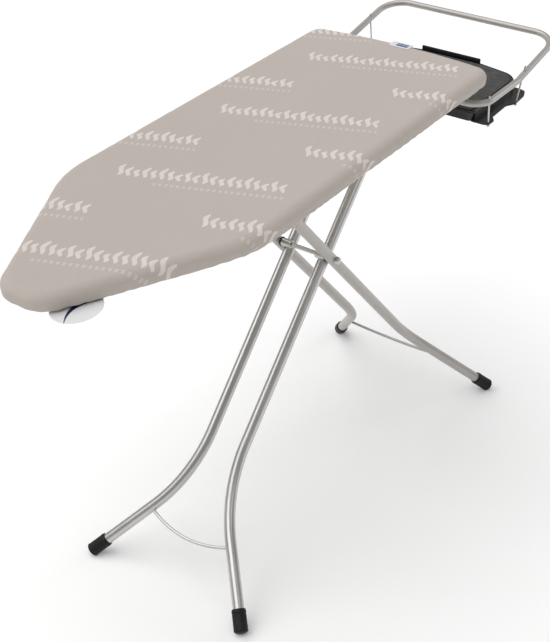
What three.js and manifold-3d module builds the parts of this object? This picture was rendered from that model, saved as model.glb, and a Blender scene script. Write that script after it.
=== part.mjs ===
// Ironing board on folding scissor legs, with a steam unit holder at its square end.
//
// Millimetres, +Z up. The board lies along X: its nose is at -X and its square end at +X.
// -Y is the near side. Inside this file x is counted from the tip of the nose, and the whole
// group is moved at the end so that the origin is under the middle of the object, on the floor.

import * as THREE from 'three';
import { mergeVertices } from 'three/addons/utils/BufferGeometryUtils.js';
import Module from 'manifold-3d';

const wasm = await Module();
wasm.setup();

// ---------------------------------------------------------------- driving dimensions

const GAP = 0.3;                 // left between pieces that touch

const BOARD_LENGTH = 1240;       // over the cover
const BOARD_WIDTH = 464;
const TOP_Z = 952;               // ironing surface above the floor, legs fully up
const NOSE_RADIUS = 59;          // the two round corners of the nose
const NOSE_CORNER_Y = 14.4;      // their centres, either side of the centre line
const SHOULDER_X = 410;          // where the sides stop being parallel
const REAR_RADIUS = 36;          // corners of the square end
const REAR_BOW = 13.4;           // how far the square end bulges past its corners

const COVER_THICK = 1.6;
const SKIRT = 37;                // height of the cover's edge
const HEM = 26;                  // width of the turned-in hem
const PAD_THICK = 7.4;
const MESH_THICK = 0.9;
const RIM_RADIUS = 7;            // steel tube round the board
const RIM_WALL = 1;

const FRONT_TUBE = { outer: 12.5, wall: 1.2, sides: 12 };
const REAR_TUBE = { outer: 12, wall: 1.2, sides: 12 };

// Each pair of legs lies in one flat plane through the floor line at footX, leaning by lean
// degrees. In that plane s runs up the legs from the floor and w is the distance from the
// centre line: the tubes run parallel at halfTop and splay out below bendAt to halfFoot.
const FRONT = {
  footX: 281, lean: 46.3, towards: 1, halfTop: 45.6, halfFoot: 221, bendAt: 262,
  bendRadius: 370, tube: FRONT_TUBE, braceAt: 134, braceRise: 27,
};
const REAR = {
  footX: 1352, lean: 49.7, towards: -1, halfTop: 73, halfFoot: 238.3, bendAt: 291,
  bendRadius: 241, tube: REAR_TUBE, braceAt: 148, braceRise: 23,
};

const HINGE_Z = 900;             // pivot of the front legs under the square end
const BAR_Z = 893;               // sliding bar of the rear legs, in the height rack
const AXLE_OFFSET = 18;          // the scissor axle lies this far in front of the front tubes
const AXLE_RADIUS = 5;
const BAR_RADIUS = 6;
const BAR_FOLDED_X = 350;        // where the sliding bar stands with the legs folded
const SLOT_PLAY = 3.2;           // play above and below the bar in the rack slot
const RACK_Y = 90;               // inner face of each rack rail
const SHEET = 2.5;               // thickness of rails and brackets
const FLANGE_TOP = 927.4;        // rails and brackets are screwed up against the cross braces

const CAP_RADIUS = 16;
const CAP_LENGTH = 52;
const CAP_FLOOR = 9;             // rubber below the tube's end
const CAP_END_Z = 7;             // height of the middle of the cap's end
const WIRE_RADIUS = 3.5;

const GUARD_RADIUS = 7.5;
const GUARD_WALL = 1.2;
const GUARD_END_X = 1194;
const GUARD_HALF = 230;
const GUARD_LOW_Z = 870;
const GUARD_KNEE_X = 1362;
const GUARD_BACK_X = 1562;
const GUARD_BACK_Z = 906;

const TRAY_FRONT_X = 1217;
const TRAY_BACK_X = 1470;
const TRAY_BASE_Z = 815;
const TRAY_TOP_Z = 838;
const TRAY_WALL = 3;

const LEVER_Y = 28;
const LEVER_Z = 873;
const LEVER_RADIUS = 4;
const SPRING_X = 614;
const SPRING_PITCH = 2.2;
const SPRING_RADIUS = 6.2;

// ---------------------------------------------------------------- materials

const finish = (color, roughness, metalness) =>
  new THREE.MeshStandardMaterial({ color, roughness, metalness });

const coverCloth = finish(0xc1bab4, 0.95, 0);
const foam = finish(0xd9d6cf, 1, 0);
const zincSteel = finish(0xb4b4b2, 0.45, 0.9);
const satinSteel = finish(0xa3a19e, 0.3, 1);
const paintedSteel = finish(0xa19d9a, 0.55, 0.4);
const rubber = finish(0x1b1b1b, 0.85, 0);
const blackPlastic = finish(0x1d1c1c, 0.45, 0);
const greyMat = finish(0x4c4c4d, 0.9, 0);
const whiteCard = finish(0xe9eaec, 0.25, 0);
const whiteTape = finish(0xe4e3df, 0.8, 0);

// ---------------------------------------------------------------- small helpers

const rad = THREE.MathUtils.degToRad;
const v3 = (x, y, z) => new THREE.Vector3(x, y, z);

/** A closed geometry as a manifold solid: the vertices are merged by place first. */
function toSolid(geometry) {
  const plain = geometry.clone();
  plain.deleteAttribute('normal');
  plain.deleteAttribute('uv');
  const merged = mergeVertices(plain, 1e-4);
  return new wasm.Manifold(new wasm.Mesh({
    numProp: 3,
    vertProperties: new Float32Array(merged.attributes.position.array),
    triVerts: new Uint32Array(merged.index.array),
  }));
}

function toGeometry(solid) {
  const mesh = solid.getMesh();
  const geometry = new THREE.BufferGeometry();
  geometry.setAttribute('position', new THREE.BufferAttribute(mesh.vertProperties, 3));
  geometry.setIndex(new THREE.BufferAttribute(mesh.triVerts, 1));
  geometry.computeVertexNormals();
  return geometry;
}

const join = (...geometries) =>
  toGeometry(geometries.map(toSolid).reduce((a, b) => a.add(b)));

const cut = (geometry, ...tools) =>
  toGeometry(tools.map(toSolid).reduce((a, b) => a.subtract(b), toSolid(geometry)));

/** A flat outline in XY, raised from z0 to z1. */
function plate(shape, z0, z1) {
  const geometry = new THREE.ExtrudeGeometry(shape, { depth: z1 - z0, bevelEnabled: false });
  return geometry.translate(0, 0, z0);
}

/** An outline drawn in X and Z, thickened along Y from y0 to y1. */
function sidePlate(shape, y0, y1) {
  const geometry = new THREE.ExtrudeGeometry(shape, { depth: y1 - y0, bevelEnabled: false });
  return geometry.rotateX(Math.PI / 2).translate(0, y1, 0);
}

function block(x0, x1, y0, y1, z0, z1) {
  const geometry = new THREE.BoxGeometry(x1 - x0, y1 - y0, z1 - z0);
  return geometry.translate((x0 + x1) / 2, (y0 + y1) / 2, (z0 + z1) / 2);
}

/** Places geometry made round +Y so that its origin is at from and +Y points along to. */
function along(geometry, from, to) {
  const direction = to.clone().sub(from).normalize();
  const turn = new THREE.Quaternion().setFromUnitVectors(v3(0, 1, 0), direction);
  return geometry.applyQuaternion(turn).translate(from.x, from.y, from.z);
}

function pin(from, to, radius, sides = 16) {
  const length = from.distanceTo(to);
  const geometry = new THREE.CylinderGeometry(radius, radius, length, sides);
  return along(geometry.translate(0, length / 2, 0), from, to);
}

/** A washer-like ring round the line through (x, z) parallel to Y. */
function ringAlongY(x, z, y0, y1, inner, outer, segments = 14) {
  const profile = [[inner, y0], [outer, y0], [outer, y1], [inner, y1], [inner, y0]];
  const points = profile.map(([r, y]) => new THREE.Vector2(r, y));
  return new THREE.LatheGeometry(points, segments).translate(x, 0, z);
}

/** A pipe's centre line through given stations, kept as they are: one step for a straight. */
class Run extends THREE.Curve {
  constructor(stations) {
    super();
    this.stations = stations;
  }

  get steps() {
    return this.stations.length - 1;
  }

  getPoint(t, target = new THREE.Vector3()) {
    const place = Math.min(t * this.steps, this.steps - 1e-9);
    const i = Math.floor(place);
    return target.lerpVectors(this.stations[i], this.stations[i + 1], place - i);
  }

  getPointAt(t, target) {
    return this.getPoint(t, target);
  }

  getTangentAt(t, target = new THREE.Vector3()) {
    const i = Math.round(t * this.steps);
    const before = this.stations[Math.max(i - 1, 0)];
    const here = this.stations[i];
    const after = this.stations[Math.min(i + 1, this.steps)];
    const inward = here.clone().sub(before).normalize();
    const outward = after.clone().sub(here).normalize();
    return target.copy(inward).add(outward).normalize();
  }

  getSpacedPoints() {
    return this.stations;
  }
}

/** Stations along a bent tube, from its corner points [point, bend radius]. */
function bentLine(corners, segments = 6) {
  const stations = [corners[0][0]];
  for (let i = 1; i < corners.length - 1; i += 1) {
    const [corner, radius] = corners[i];
    const back = corners[i - 1][0].clone().sub(corner).normalize();
    const ahead = corners[i + 1][0].clone().sub(corner).normalize();
    const half = back.angleTo(ahead) / 2;
    const middle = back.clone().add(ahead).normalize();
    const centre = corner.clone().addScaledVector(middle, radius / Math.sin(half));
    const first = corner.clone().addScaledVector(back, radius / Math.tan(half)).sub(centre);
    const axis = first.clone().cross(middle).normalize();
    for (let k = 0; k <= segments; k += 1) {
      const turned = first.clone().applyAxisAngle(axis, -(Math.PI - 2 * half) * k / segments);
      stations.push(centre.clone().add(turned.clone()));
    }
  }
  stations.push(corners[corners.length - 1][0]);
  return stations;
}

/** A round rod, or with a wall a hollow tube, along stations. */
function tube(stations, outer, wall = 0, sides = 12) {
  const shape = new THREE.Shape().absarc(0, 0, outer, 0, Math.PI * 2);
  if (wall > 0) shape.holes.push(new THREE.Path().absarc(0, 0, outer - wall, 0, Math.PI * 2, true));
  const run = new Run(stations);
  return new THREE.ExtrudeGeometry(shape, {
    steps: run.steps, curveSegments: sides / 2, extrudePath: run,
  });
}

const part = new THREE.Group();

function add(name, geometry, material) {
  const mesh = new THREE.Mesh(geometry, material);
  mesh.name = name;
  part.add(mesh);
}

const SIDES = [['near', -1], ['far', 1]];

// ---------------------------------------------------------------- outline of the board

const arc = (x, y, radius, from, to, segments) =>
  Array.from({ length: segments + 1 }, (_, i) => {
    const angle = rad(from + (to - from) * i / segments);
    return new THREE.Vector2(x + radius * Math.cos(angle), y + radius * Math.sin(angle));
  });

/**
 * Points round the board, inset from the cover's edge, anticlockwise from the nose.
 * The nose is two small arcs, straight tapers run from them to one big shoulder arc, and the
 * square end is a shallow arc between two corner arcs. All arcs meet their neighbours smoothly.
 */
function boardOutline(inset = 0) {
  const shoulder = BOARD_WIDTH / 2;
  const dx = NOSE_RADIUS - SHOULDER_X;
  const reach = Math.hypot(dx, NOSE_CORNER_Y);
  const taper = THREE.MathUtils.radToDeg(Math.atan2(NOSE_CORNER_Y, dx)
    - Math.acos((shoulder - NOSE_RADIUS) / reach));
  const cornerX = BOARD_LENGTH - REAR_BOW - REAR_RADIUS;
  const cornerY = shoulder - REAR_RADIUS;
  const back = BOARD_LENGTH - cornerX;
  const bow = (back * back + cornerY * cornerY - REAR_RADIUS * REAR_RADIUS)
    / (2 * (back - REAR_RADIUS));
  const swing = THREE.MathUtils.radToDeg(Math.asin(cornerY / (bow - REAR_RADIUS)));
  const nose = NOSE_RADIUS - inset;
  const corner = REAR_RADIUS - inset;
  return [
    ...arc(NOSE_RADIUS, -NOSE_CORNER_Y, nose, 180, 360 - taper, 5),
    ...arc(SHOULDER_X, 0, shoulder - inset, 360 - taper, 270, 4),
    ...arc(cornerX, -cornerY, corner, 270, 360 - swing, 4),
    ...arc(BOARD_LENGTH - bow, 0, bow - inset, -swing, swing, 5).slice(1, -1),
    ...arc(cornerX, cornerY, corner, swing, 90, 4),
    ...arc(SHOULDER_X, 0, shoulder - inset, 90, taper, 4),
    ...arc(NOSE_RADIUS, NOSE_CORNER_Y, nose, taper, 180, 5),
  ];
}

const boardShape = (inset) => new THREE.Shape(boardOutline(inset));

/** Half the board's width at x, inset from the edge, from the shoulder to the square end. */
function halfWidthAt(x, inset) {
  const radius = BOARD_WIDTH / 2 - inset;
  return x >= SHOULDER_X ? radius : Math.sqrt(radius ** 2 - (SHOULDER_X - x) ** 2);
}

// ---------------------------------------------------------------- cover, pad and board frame

const coverBase = TOP_Z - SKIRT;
const padTop = TOP_Z - COVER_THICK - 0.4;
const padBase = padTop - PAD_THICK;
const meshTop = padBase - GAP;
const meshBase = meshTop - MESH_THICK;
const rimZ = meshBase - GAP - RIM_RADIUS;
const rimInset = 6 + RIM_RADIUS;

function makeTop() {
  add('cover', cut(
    plate(boardShape(0), coverBase, TOP_Z),
    plate(boardShape(COVER_THICK), coverBase + COVER_THICK, TOP_Z - COVER_THICK),
    plate(boardShape(HEM), coverBase - 1, coverBase + COVER_THICK + 1),
  ), coverCloth);
  add('foam_pad', plate(boardShape(COVER_THICK + 0.6), padBase, padTop), foam);

  const sheet = boardShape(4);
  const pitchX = 100;
  const pitchY = 74;
  const columns = Math.floor((BOARD_LENGTH - 170) / pitchX);
  for (let column = 0; column <= columns; column += 1) {
    const x = 80 + column * pitchX;
    const room = x < SHOULDER_X ? 62 + (x - 80) * 0.5 : BOARD_WIDTH / 2 - 30;
    const shift = column % 2 ? 0 : pitchY / 2;
    for (let row = -4; row < 5; row += 1) {
      const y = row * pitchY + shift;
      if (Math.abs(y) + pitchY / 2 > room) continue;
      sheet.holes.push(new THREE.Path([
        new THREE.Vector2(x - 44, y), new THREE.Vector2(x, y + 31),
        new THREE.Vector2(x + 44, y), new THREE.Vector2(x, y - 31),
      ]));
    }
  }
  add('mesh_top', plate(sheet, meshBase, meshTop), zincSteel);

  // the rim is bent from one tube, with its butt seam in the middle of the square end
  const loop = boardOutline(rimInset).map((p) => v3(p.x, p.y, rimZ));
  const seamX = loop.reduce((most, p) => Math.max(most, p.x), 0);
  const after = loop.findIndex((p, i) => p.x > seamX - 1 && p.y > 0 && loop[i - 1].y < 0);
  const stations = [v3(seamX, GAP, rimZ), ...loop.slice(after), ...loop.slice(0, after),
    v3(seamX, -GAP, rimZ)];
  add('rim_tube', tube(stations, RIM_RADIUS, RIM_WALL, 8), zincSteel);
}

const BRACE_X = [330, 628, 900, 1150, 1190];
const BRACE_HALF = 11;
const braceBase = FLANGE_TOP + GAP;
const braceTop = meshBase - GAP;

/** Where screws go up into the braces: x and distance from the centre line, both sides. */
const HINGE_SCREW = [1150, 75];
const CLAMP_SCREW = [1193, 110];

const screwHole = ([x, y], side) => pin(v3(x, side * y, 915), v3(x, side * y, 936), 2.6, 12);

/** Pan-head screw driven up through a flange into a brace. */
function screw([x, y], side) {
  const underside = FLANGE_TOP - SHEET;
  const head = pin(v3(x, side * y, underside - 3), v3(x, side * y, underside - GAP), 4.4, 12);
  const shank = pin(v3(x, side * y, underside - 1), v3(x, side * y, 933), 2.2, 12);
  return join(head, shank);
}

function makeBraces() {
  const drilled = [HINGE_SCREW, CLAMP_SCREW];
  BRACE_X.forEach((x, i) => {
    const half = Math.min(halfWidthAt(x - BRACE_HALF, rimInset + RIM_RADIUS) - 2,
      x > 1180 ? 188 : Infinity);
    const width = i === 3 ? BRACE_HALF - 1 : BRACE_HALF;
    const outside = block(x - width, x + width, -half, half, braceBase, braceTop);
    const inside = block(x - width + 1.5, x + width - 1.5, -half - 1, half + 1,
      braceBase + 1.5, braceTop + 1);
    const holes = drilled.filter(([hx]) => Math.abs(hx - x) < width)
      .flatMap((at) => SIDES.map(([, side]) => screwHole(at, side)));
    add(`cross_brace_${i + 1}`, cut(outside, inside, ...holes), zincSteel);
  });
}

// ---------------------------------------------------------------- leg planes

/** World point of a place in a leg plane: s up the legs, w across, lift out of the plane. */
function legPoint(legs, s, w, lift = 0) {
  const lean = rad(legs.lean);
  const run = s * Math.cos(lean) - lift * Math.sin(lean);
  return v3(legs.footX + legs.towards * run, w, s * Math.sin(lean) + lift * Math.cos(lean));
}

/** The scissor axle is AXLE_OFFSET out of the front plane and in the rear plane. */
function findAxle() {
  const front = rad(FRONT.lean);
  const rear = rad(REAR.lean);
  const x = (AXLE_OFFSET - FRONT.footX * Math.sin(front)
    - REAR.footX * Math.tan(rear) * Math.cos(front))
    / (-Math.sin(front) - Math.tan(rear) * Math.cos(front));
  return { x, z: (REAR.footX - x) * Math.tan(rear) };
}

const axle = findAxle();
const hingeS = HINGE_Z / Math.sin(rad(FRONT.lean));
const hinge = legPoint(FRONT, hingeS, 0);
const barS = BAR_Z / Math.sin(rad(REAR.lean));
const bar = legPoint(REAR, barS, 0);

const splay = (legs) => (legs.halfFoot - legs.halfTop) / legs.bendAt;

/** Unit vector up the splayed lower stretch of one leg. */
function upFoot(legs, side) {
  const low = legPoint(legs, 0, side * legs.halfFoot);
  return legPoint(legs, legs.bendAt, side * legs.halfTop).sub(low).normalize();
}

function legStations(legs, side, topS) {
  const up = upFoot(legs, side);
  const start = legPoint(legs, 0, side * legs.halfFoot)
    .addScaledVector(up, CAP_END_Z / up.z + CAP_FLOOR + 0.5);
  return bentLine([[start], [legPoint(legs, legs.bendAt, side * legs.halfTop), legs.bendRadius],
    [legPoint(legs, topS, side * legs.halfTop)]], 7);
}

const acrossY = (place, radius, reach = 110) =>
  pin(v3(place.x, -reach, place.z), v3(place.x, reach, place.z), radius, 14);

function makeCap(legs, side) {
  const up = upFoot(legs, side);
  const end = legPoint(legs, 0, side * legs.halfFoot).addScaledVector(up, CAP_END_Z / up.z);
  const bore = legs.tube.outer + GAP;
  const profile = [[0, 0], [11, 0], [14.5, 1.5], [CAP_RADIUS, 5], [CAP_RADIUS, CAP_LENGTH - 3],
    [CAP_RADIUS - 1, CAP_LENGTH], [bore, CAP_LENGTH], [bore, CAP_FLOOR], [0, CAP_FLOOR]];
  const body = new THREE.LatheGeometry(profile.map(([r, y]) => new THREE.Vector2(r, y)), 18);
  along(body, end, end.clone().add(up));
  const floor = block(end.x - 60, end.x + 60, end.y - 60, end.y + 60, -60, 0);
  return cut(body, floor);
}

/** Bowed wire between the two legs of a pair, its ends shaped to the tubes they meet. */
function makeWireBrace(legs) {
  const endW = legs.halfTop + splay(legs) * (legs.bendAt - legs.braceAt - legs.braceRise);
  const stations = [];
  for (let k = -6; k <= 6; k += 1) {
    const share = k / 6;
    stations.push(legPoint(legs, legs.braceAt + legs.braceRise * share ** 2, endW * share));
  }
  const wire = tube(stations, WIRE_RADIUS, 0, 8);
  const clear = SIDES.map(([, side]) =>
    tube(legStations(legs, side, 600), legs.tube.outer + GAP, 0, legs.tube.sides));
  return cut(wire, ...clear);
}

function makeFrontLegs() {
  for (const [name, side] of SIDES) {
    const pipe = tube(legStations(FRONT, side, hingeS + 16), FRONT.tube.outer,
      FRONT.tube.wall, FRONT.tube.sides);
    add(`front_leg_${name}`, cut(pipe, acrossY(hinge, AXLE_RADIUS + GAP)), satinSteel);
    add(`front_cap_${name}`, makeCap(FRONT, side), rubber);

    const inner = side * FRONT.halfTop - FRONT.tube.outer;
    const sleeve = ringAlongY(axle.x, axle.z, inner, inner + 2 * FRONT.tube.outer,
      AXLE_RADIUS + GAP, 9.5);
    const clear = tube([legPoint(FRONT, 700, side * FRONT.halfTop),
      legPoint(FRONT, 1000, side * FRONT.halfTop)], FRONT.tube.outer + GAP, 0, 16);
    add(`axle_sleeve_${name}`, cut(sleeve, clear), zincSteel);
  }
  add('front_wire_brace', makeWireBrace(FRONT), satinSteel);
  add('hinge_rod', acrossY(hinge, AXLE_RADIUS, 71), zincSteel);

  const outside = REAR.halfTop + REAR.tube.outer;
  add('axle_rod', acrossY(axle, AXLE_RADIUS, outside + 7), zincSteel);
  const nutProfile = [[5.4, 0], [8.5, 0], [8.5, 5], [6.5, 8.5], [0, 10], [0, 7.6], [5.4, 7.6],
    [5.4, 0]].map(([r, y]) => new THREE.Vector2(r, y));
  for (const [name, side] of SIDES) {
    const clipY = side * 66.2;
    add(`hinge_rod_clip_${name}`,
      ringAlongY(hinge.x, hinge.z, clipY - 1.2, clipY + 1.2, 5.4, 9), zincSteel);
    const washerY = side * (REAR.halfTop - REAR.tube.outer - 1.4);
    add(`axle_washer_${name}`,
      ringAlongY(axle.x, axle.z, washerY - 1, washerY + 1, 5.4, 11), blackPlastic);
    const seat = v3(axle.x, side * (outside + GAP), axle.z);
    add(`axle_nut_${name}`, along(new THREE.LatheGeometry(nutProfile, 12), seat,
      seat.clone().add(v3(0, side, 0))), zincSteel);
  }
}

function makeRearLegs() {
  for (const [name, side] of SIDES) {
    const pipe = tube(legStations(REAR, side, barS + 14), REAR.tube.outer,
      REAR.tube.wall, REAR.tube.sides);
    add(`rear_leg_${name}`, cut(pipe, acrossY(axle, AXLE_RADIUS + GAP),
      acrossY(bar, BAR_RADIUS + GAP)), paintedSteel);
    add(`rear_cap_${name}`, makeCap(REAR, side), rubber);
  }
  add('rear_wire_brace', makeWireBrace(REAR), paintedSteel);
  add('sliding_bar', acrossY(bar, BAR_RADIUS, 100), zincSteel);
  for (const [name, side] of SIDES) {
    const clipY = side * (RACK_Y + SHEET + 1.8);
    add(`bar_clip_${name}`, ringAlongY(bar.x, bar.z, clipY - 1, clipY + 1, 6.4, 11), zincSteel);
  }
}

// ---------------------------------------------------------------- rails and brackets

/** Sheet bracket: a web at y (growing away from the middle) under an outward screw flange. */
function bracket(web, side, y, flangeX0, flangeX1, flangeWidth) {
  const y0 = side > 0 ? y : -y - SHEET;
  const plateY = sidePlate(web, y0, y0 + SHEET);
  const f0 = side > 0 ? y : -y - flangeWidth;
  return join(plateY, block(flangeX0, flangeX1, f0, f0 + flangeWidth,
    FLANGE_TOP - SHEET, FLANGE_TOP));
}

const rectangle = (x0, x1, z0, z1) => new THREE.Shape([
  new THREE.Vector2(x0, z0), new THREE.Vector2(x1, z0),
  new THREE.Vector2(x1, z1), new THREE.Vector2(x0, z1)]);

/** Round hole or long slot in a web; z of its centre line, x of its two end centres. */
function slotHole(x0, x1, z, radius) {
  const path = new THREE.Path();
  path.absarc(x0, z, radius, Math.PI * 1.5, Math.PI / 2, true);
  path.absarc(x1, z, radius, Math.PI / 2, -Math.PI / 2, true);
  return path;
}

function makeRails() {
  const rackLow = BAR_Z - BAR_RADIUS - SLOT_PLAY - 9;
  const rackEnds = [316, 642];
  const slotRadius = BAR_RADIUS + SLOT_PLAY;
  for (const [name, side] of SIDES) {
    const web = rectangle(...rackEnds, rackLow, FLANGE_TOP);
    web.holes.push(slotHole(BAR_FOLDED_X - 1, bar.x + 3, BAR_Z, slotRadius));
    add(`rack_rail_${name}`, bracket(web, side, RACK_Y, ...rackEnds, 22), zincSteel);

    const cheek = rectangle(hinge.x - 20, hinge.x + 30, HINGE_Z - 14, FLANGE_TOP);
    cheek.holes.push(slotHole(hinge.x, hinge.x, HINGE_Z, AXLE_RADIUS + GAP));
    const hanger = bracket(cheek, side, 62, hinge.x - 20, hinge.x + 30, 24);
    add(`leg_hinge_bracket_${name}`, cut(hanger, screwHole(HINGE_SCREW, side)), zincSteel);
    add(`hinge_screw_${name}`, screw(HINGE_SCREW, side), zincSteel);
  }
}

// ---------------------------------------------------------------- height lever

const COMB_TIP_Z = BAR_Z - BAR_RADIUS - SLOT_PLAY - 0.5;
const LEVER_FRONT_X = 296;
const LEVER_BACK_X = 640;

/** Rod along X under the rack, bent out at its front end to a grip near the board's edge. */
function makeLever() {
  const gripStart = v3(LEVER_FRONT_X, 118, LEVER_Z + 2);
  const gripEnd = v3(LEVER_FRONT_X, 184, LEVER_Z + 4);
  const stations = bentLine([[v3(LEVER_BACK_X, LEVER_Y, LEVER_Z)],
    [v3(LEVER_FRONT_X, LEVER_Y, LEVER_Z), 14], [gripEnd]], 6);
  add('lever_rod', tube(stations, LEVER_RADIUS, 0, 12), zincSteel);

  const sleeve = pin(gripStart, gripEnd.clone().add(v3(0, 5, 0)), 9, 16);
  add('lever_grip', cut(sleeve, pin(gripStart.clone().add(v3(0, -20, -0.6)), gripEnd
    .clone().add(v3(0, 0.4, 0)), LEVER_RADIUS + 0.5, 16)), blackPlastic);

  // the comb: a strip beside the rod with its teeth turned up under the sliding bar
  const comb = new THREE.Shape();
  const combFront = BAR_FOLDED_X - 18;
  const combBack = bar.x + 16;
  const toothCount = 7;
  const pitch = (combBack - combFront) / toothCount;
  comb.moveTo(combFront, LEVER_Z - 1);
  comb.lineTo(combBack, LEVER_Z - 1);
  for (let tooth = toothCount - 1; tooth >= 0; tooth -= 1) {
    const x = combFront + tooth * pitch;
    comb.lineTo(x + pitch, COMB_TIP_Z);
    comb.lineTo(x + pitch * 0.55, COMB_TIP_Z);
    comb.lineTo(x + pitch * 0.45, COMB_TIP_Z - 6);
    comb.lineTo(x, COMB_TIP_Z - 6);
  }
  const teethY = LEVER_Y - 42;
  const teeth = sidePlate(comb, teethY, teethY + 2);
  const web = block(combFront, combBack, teethY, LEVER_Y - LEVER_RADIUS - GAP,
    LEVER_Z - 1, LEVER_Z + 1);
  add('lever_comb', join(teeth, web), zincSteel);

  [323, 628].forEach((x, i) => {
    const web2 = block(x - 1.25, x + 1.25, LEVER_Y - 8, LEVER_Y + 8, LEVER_Z - 9, FLANGE_TOP);
    const foot = block(x - 7, x + 7, LEVER_Y - 22, LEVER_Y + 8,
      FLANGE_TOP - SHEET, FLANGE_TOP);
    const bore = pin(v3(x - 5, LEVER_Y, LEVER_Z), v3(x + 5, LEVER_Y, LEVER_Z),
      LEVER_RADIUS + 0.4, 16);
    const name = i === 0 ? 'front' : 'rear';
    add(`lever_bracket_${name}`, cut(join(web2, foot), bore), zincSteel);
  });

  // torsion spring round the rod, in front of the rear bracket
  const turns = 4;
  const perTurn = 10;
  const coil = Array.from({ length: turns * perTurn + 1 }, (_, k) => {
    const angle = k / perTurn * Math.PI * 2;
    return v3(SPRING_X + k / perTurn * SPRING_PITCH, LEVER_Y + SPRING_RADIUS * Math.cos(angle),
      LEVER_Z + SPRING_RADIUS * Math.sin(angle));
  });
  add('lever_spring', tube(coil, 0.8, 0, 4), zincSteel);
}

// ---------------------------------------------------------------- steam unit holder

/** Guard tube: curls out from under the board, runs back, rises, and crosses behind. */
function guardStations() {
  const half = [[v3(GUARD_END_X, 112, GUARD_LOW_Z)],
    [v3(GUARD_END_X, GUARD_HALF, GUARD_LOW_Z), 42],
    [v3(GUARD_KNEE_X, GUARD_HALF, GUARD_LOW_Z - 2), 60],
    [v3(GUARD_BACK_X, GUARD_HALF, GUARD_BACK_Z), 60]];
  const mirrored = half.map(([p, r]) => [v3(p.x, -p.y, p.z), r]).reverse();
  return bentLine([...half, ...mirrored], 4);
}

// Hanging rods of the tray: from above the guard tube down to the tray's lugs.
const HANGERS = [
  ['near_front', [v3(1226, -230, 884), v3(1229, -230, 808)]],
  ['near_rear', [v3(1397, -230, 893), v3(1359, -230, 808)]],
  ['far_front', [v3(1226, 230, 884), v3(1229, 230, 808)]],
  ['far_rear', [v3(1462, 230, 899), v3(1470, 230, 832), v3(1424, 216, 820.9),
    v3(1404, 210, 820.9)]],
];
const HANGER_RADIUS = 2;

function makeTray() {
  const z0 = TRAY_BASE_Z;
  const z1 = TRAY_TOP_Z;
  const half = 196;
  const deck = (inset) => new THREE.Shape([
    ...arc(TRAY_FRONT_X + 14, -half + 14, 14 - inset, 180, 270, 4),
    ...arc(TRAY_BACK_X - 70, -half + 62, 62 - inset, 270, 330, 5),
    ...arc(TRAY_BACK_X - 22, -84, 22 - inset, 330, 360, 3),
    ...arc(TRAY_BACK_X - 22, 84, 22 - inset, 0, 30, 3),
    ...arc(TRAY_BACK_X - 70, half - 62, 62 - inset, 30, 90, 5),
    ...arc(TRAY_FRONT_X + 14, half - 14, 14 - inset, 90, 180, 4),
  ]);
  const shell = cut(plate(deck(0), z0, z1), plate(deck(TRAY_WALL), z0 - 1, z1 - TRAY_WALL));

  // side flanges with a lug at each end, where the hanging rods come through
  const flange = (side) => {
    const lip = new THREE.Shape([
      ...arc(1231, -220, 14, 180, 300, 5), new THREE.Vector2(1262, -224),
      new THREE.Vector2(1330, -222), ...arc(1374, -216, 20, 235, 300, 4),
      ...arc(1408, -206, 20, 290, 380, 5), new THREE.Vector2(1426, -170),
      new THREE.Vector2(TRAY_FRONT_X, -170)]);
    const sheet = plate(lip, z0, z0 + 3.5);
    return side < 0 ? sheet : sheet.rotateX(Math.PI).translate(0, 0, 2 * z0 + 3.5);
  };
  const inside = plate(deck(TRAY_WALL), z0 - 1, z1 - TRAY_WALL);
  const backLip = block(TRAY_BACK_X - 6, TRAY_BACK_X, -80, 80, z1 - 4, z1 + 11);
  const holes = HANGERS.slice(0, 3).map(([, run]) => pin(run[0], run[1], HANGER_RADIUS + 0.5, 10));
  const flanges = SIDES.map(([, side]) => cut(flange(side), inside));
  add('tray', cut(join(shell, backLip, ...flanges), ...holes), blackPlastic);

  const mat = new THREE.Shape([
    ...arc(TRAY_FRONT_X + 16, -half + 18, 10, 180, 270, 4),
    ...arc(TRAY_BACK_X - 72, -half + 62, 54, 270, 330, 5),
    new THREE.Vector2(TRAY_BACK_X - 12, -82), new THREE.Vector2(TRAY_BACK_X - 12, 82),
    ...arc(TRAY_BACK_X - 72, half - 62, 54, 30, 90, 5),
    ...arc(TRAY_FRONT_X + 16, half - 18, 10, 90, 180, 4),
  ]);
  add('tray_mat', plate(mat, z1 + GAP, z1 + GAP + 2), greyMat);
}

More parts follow.
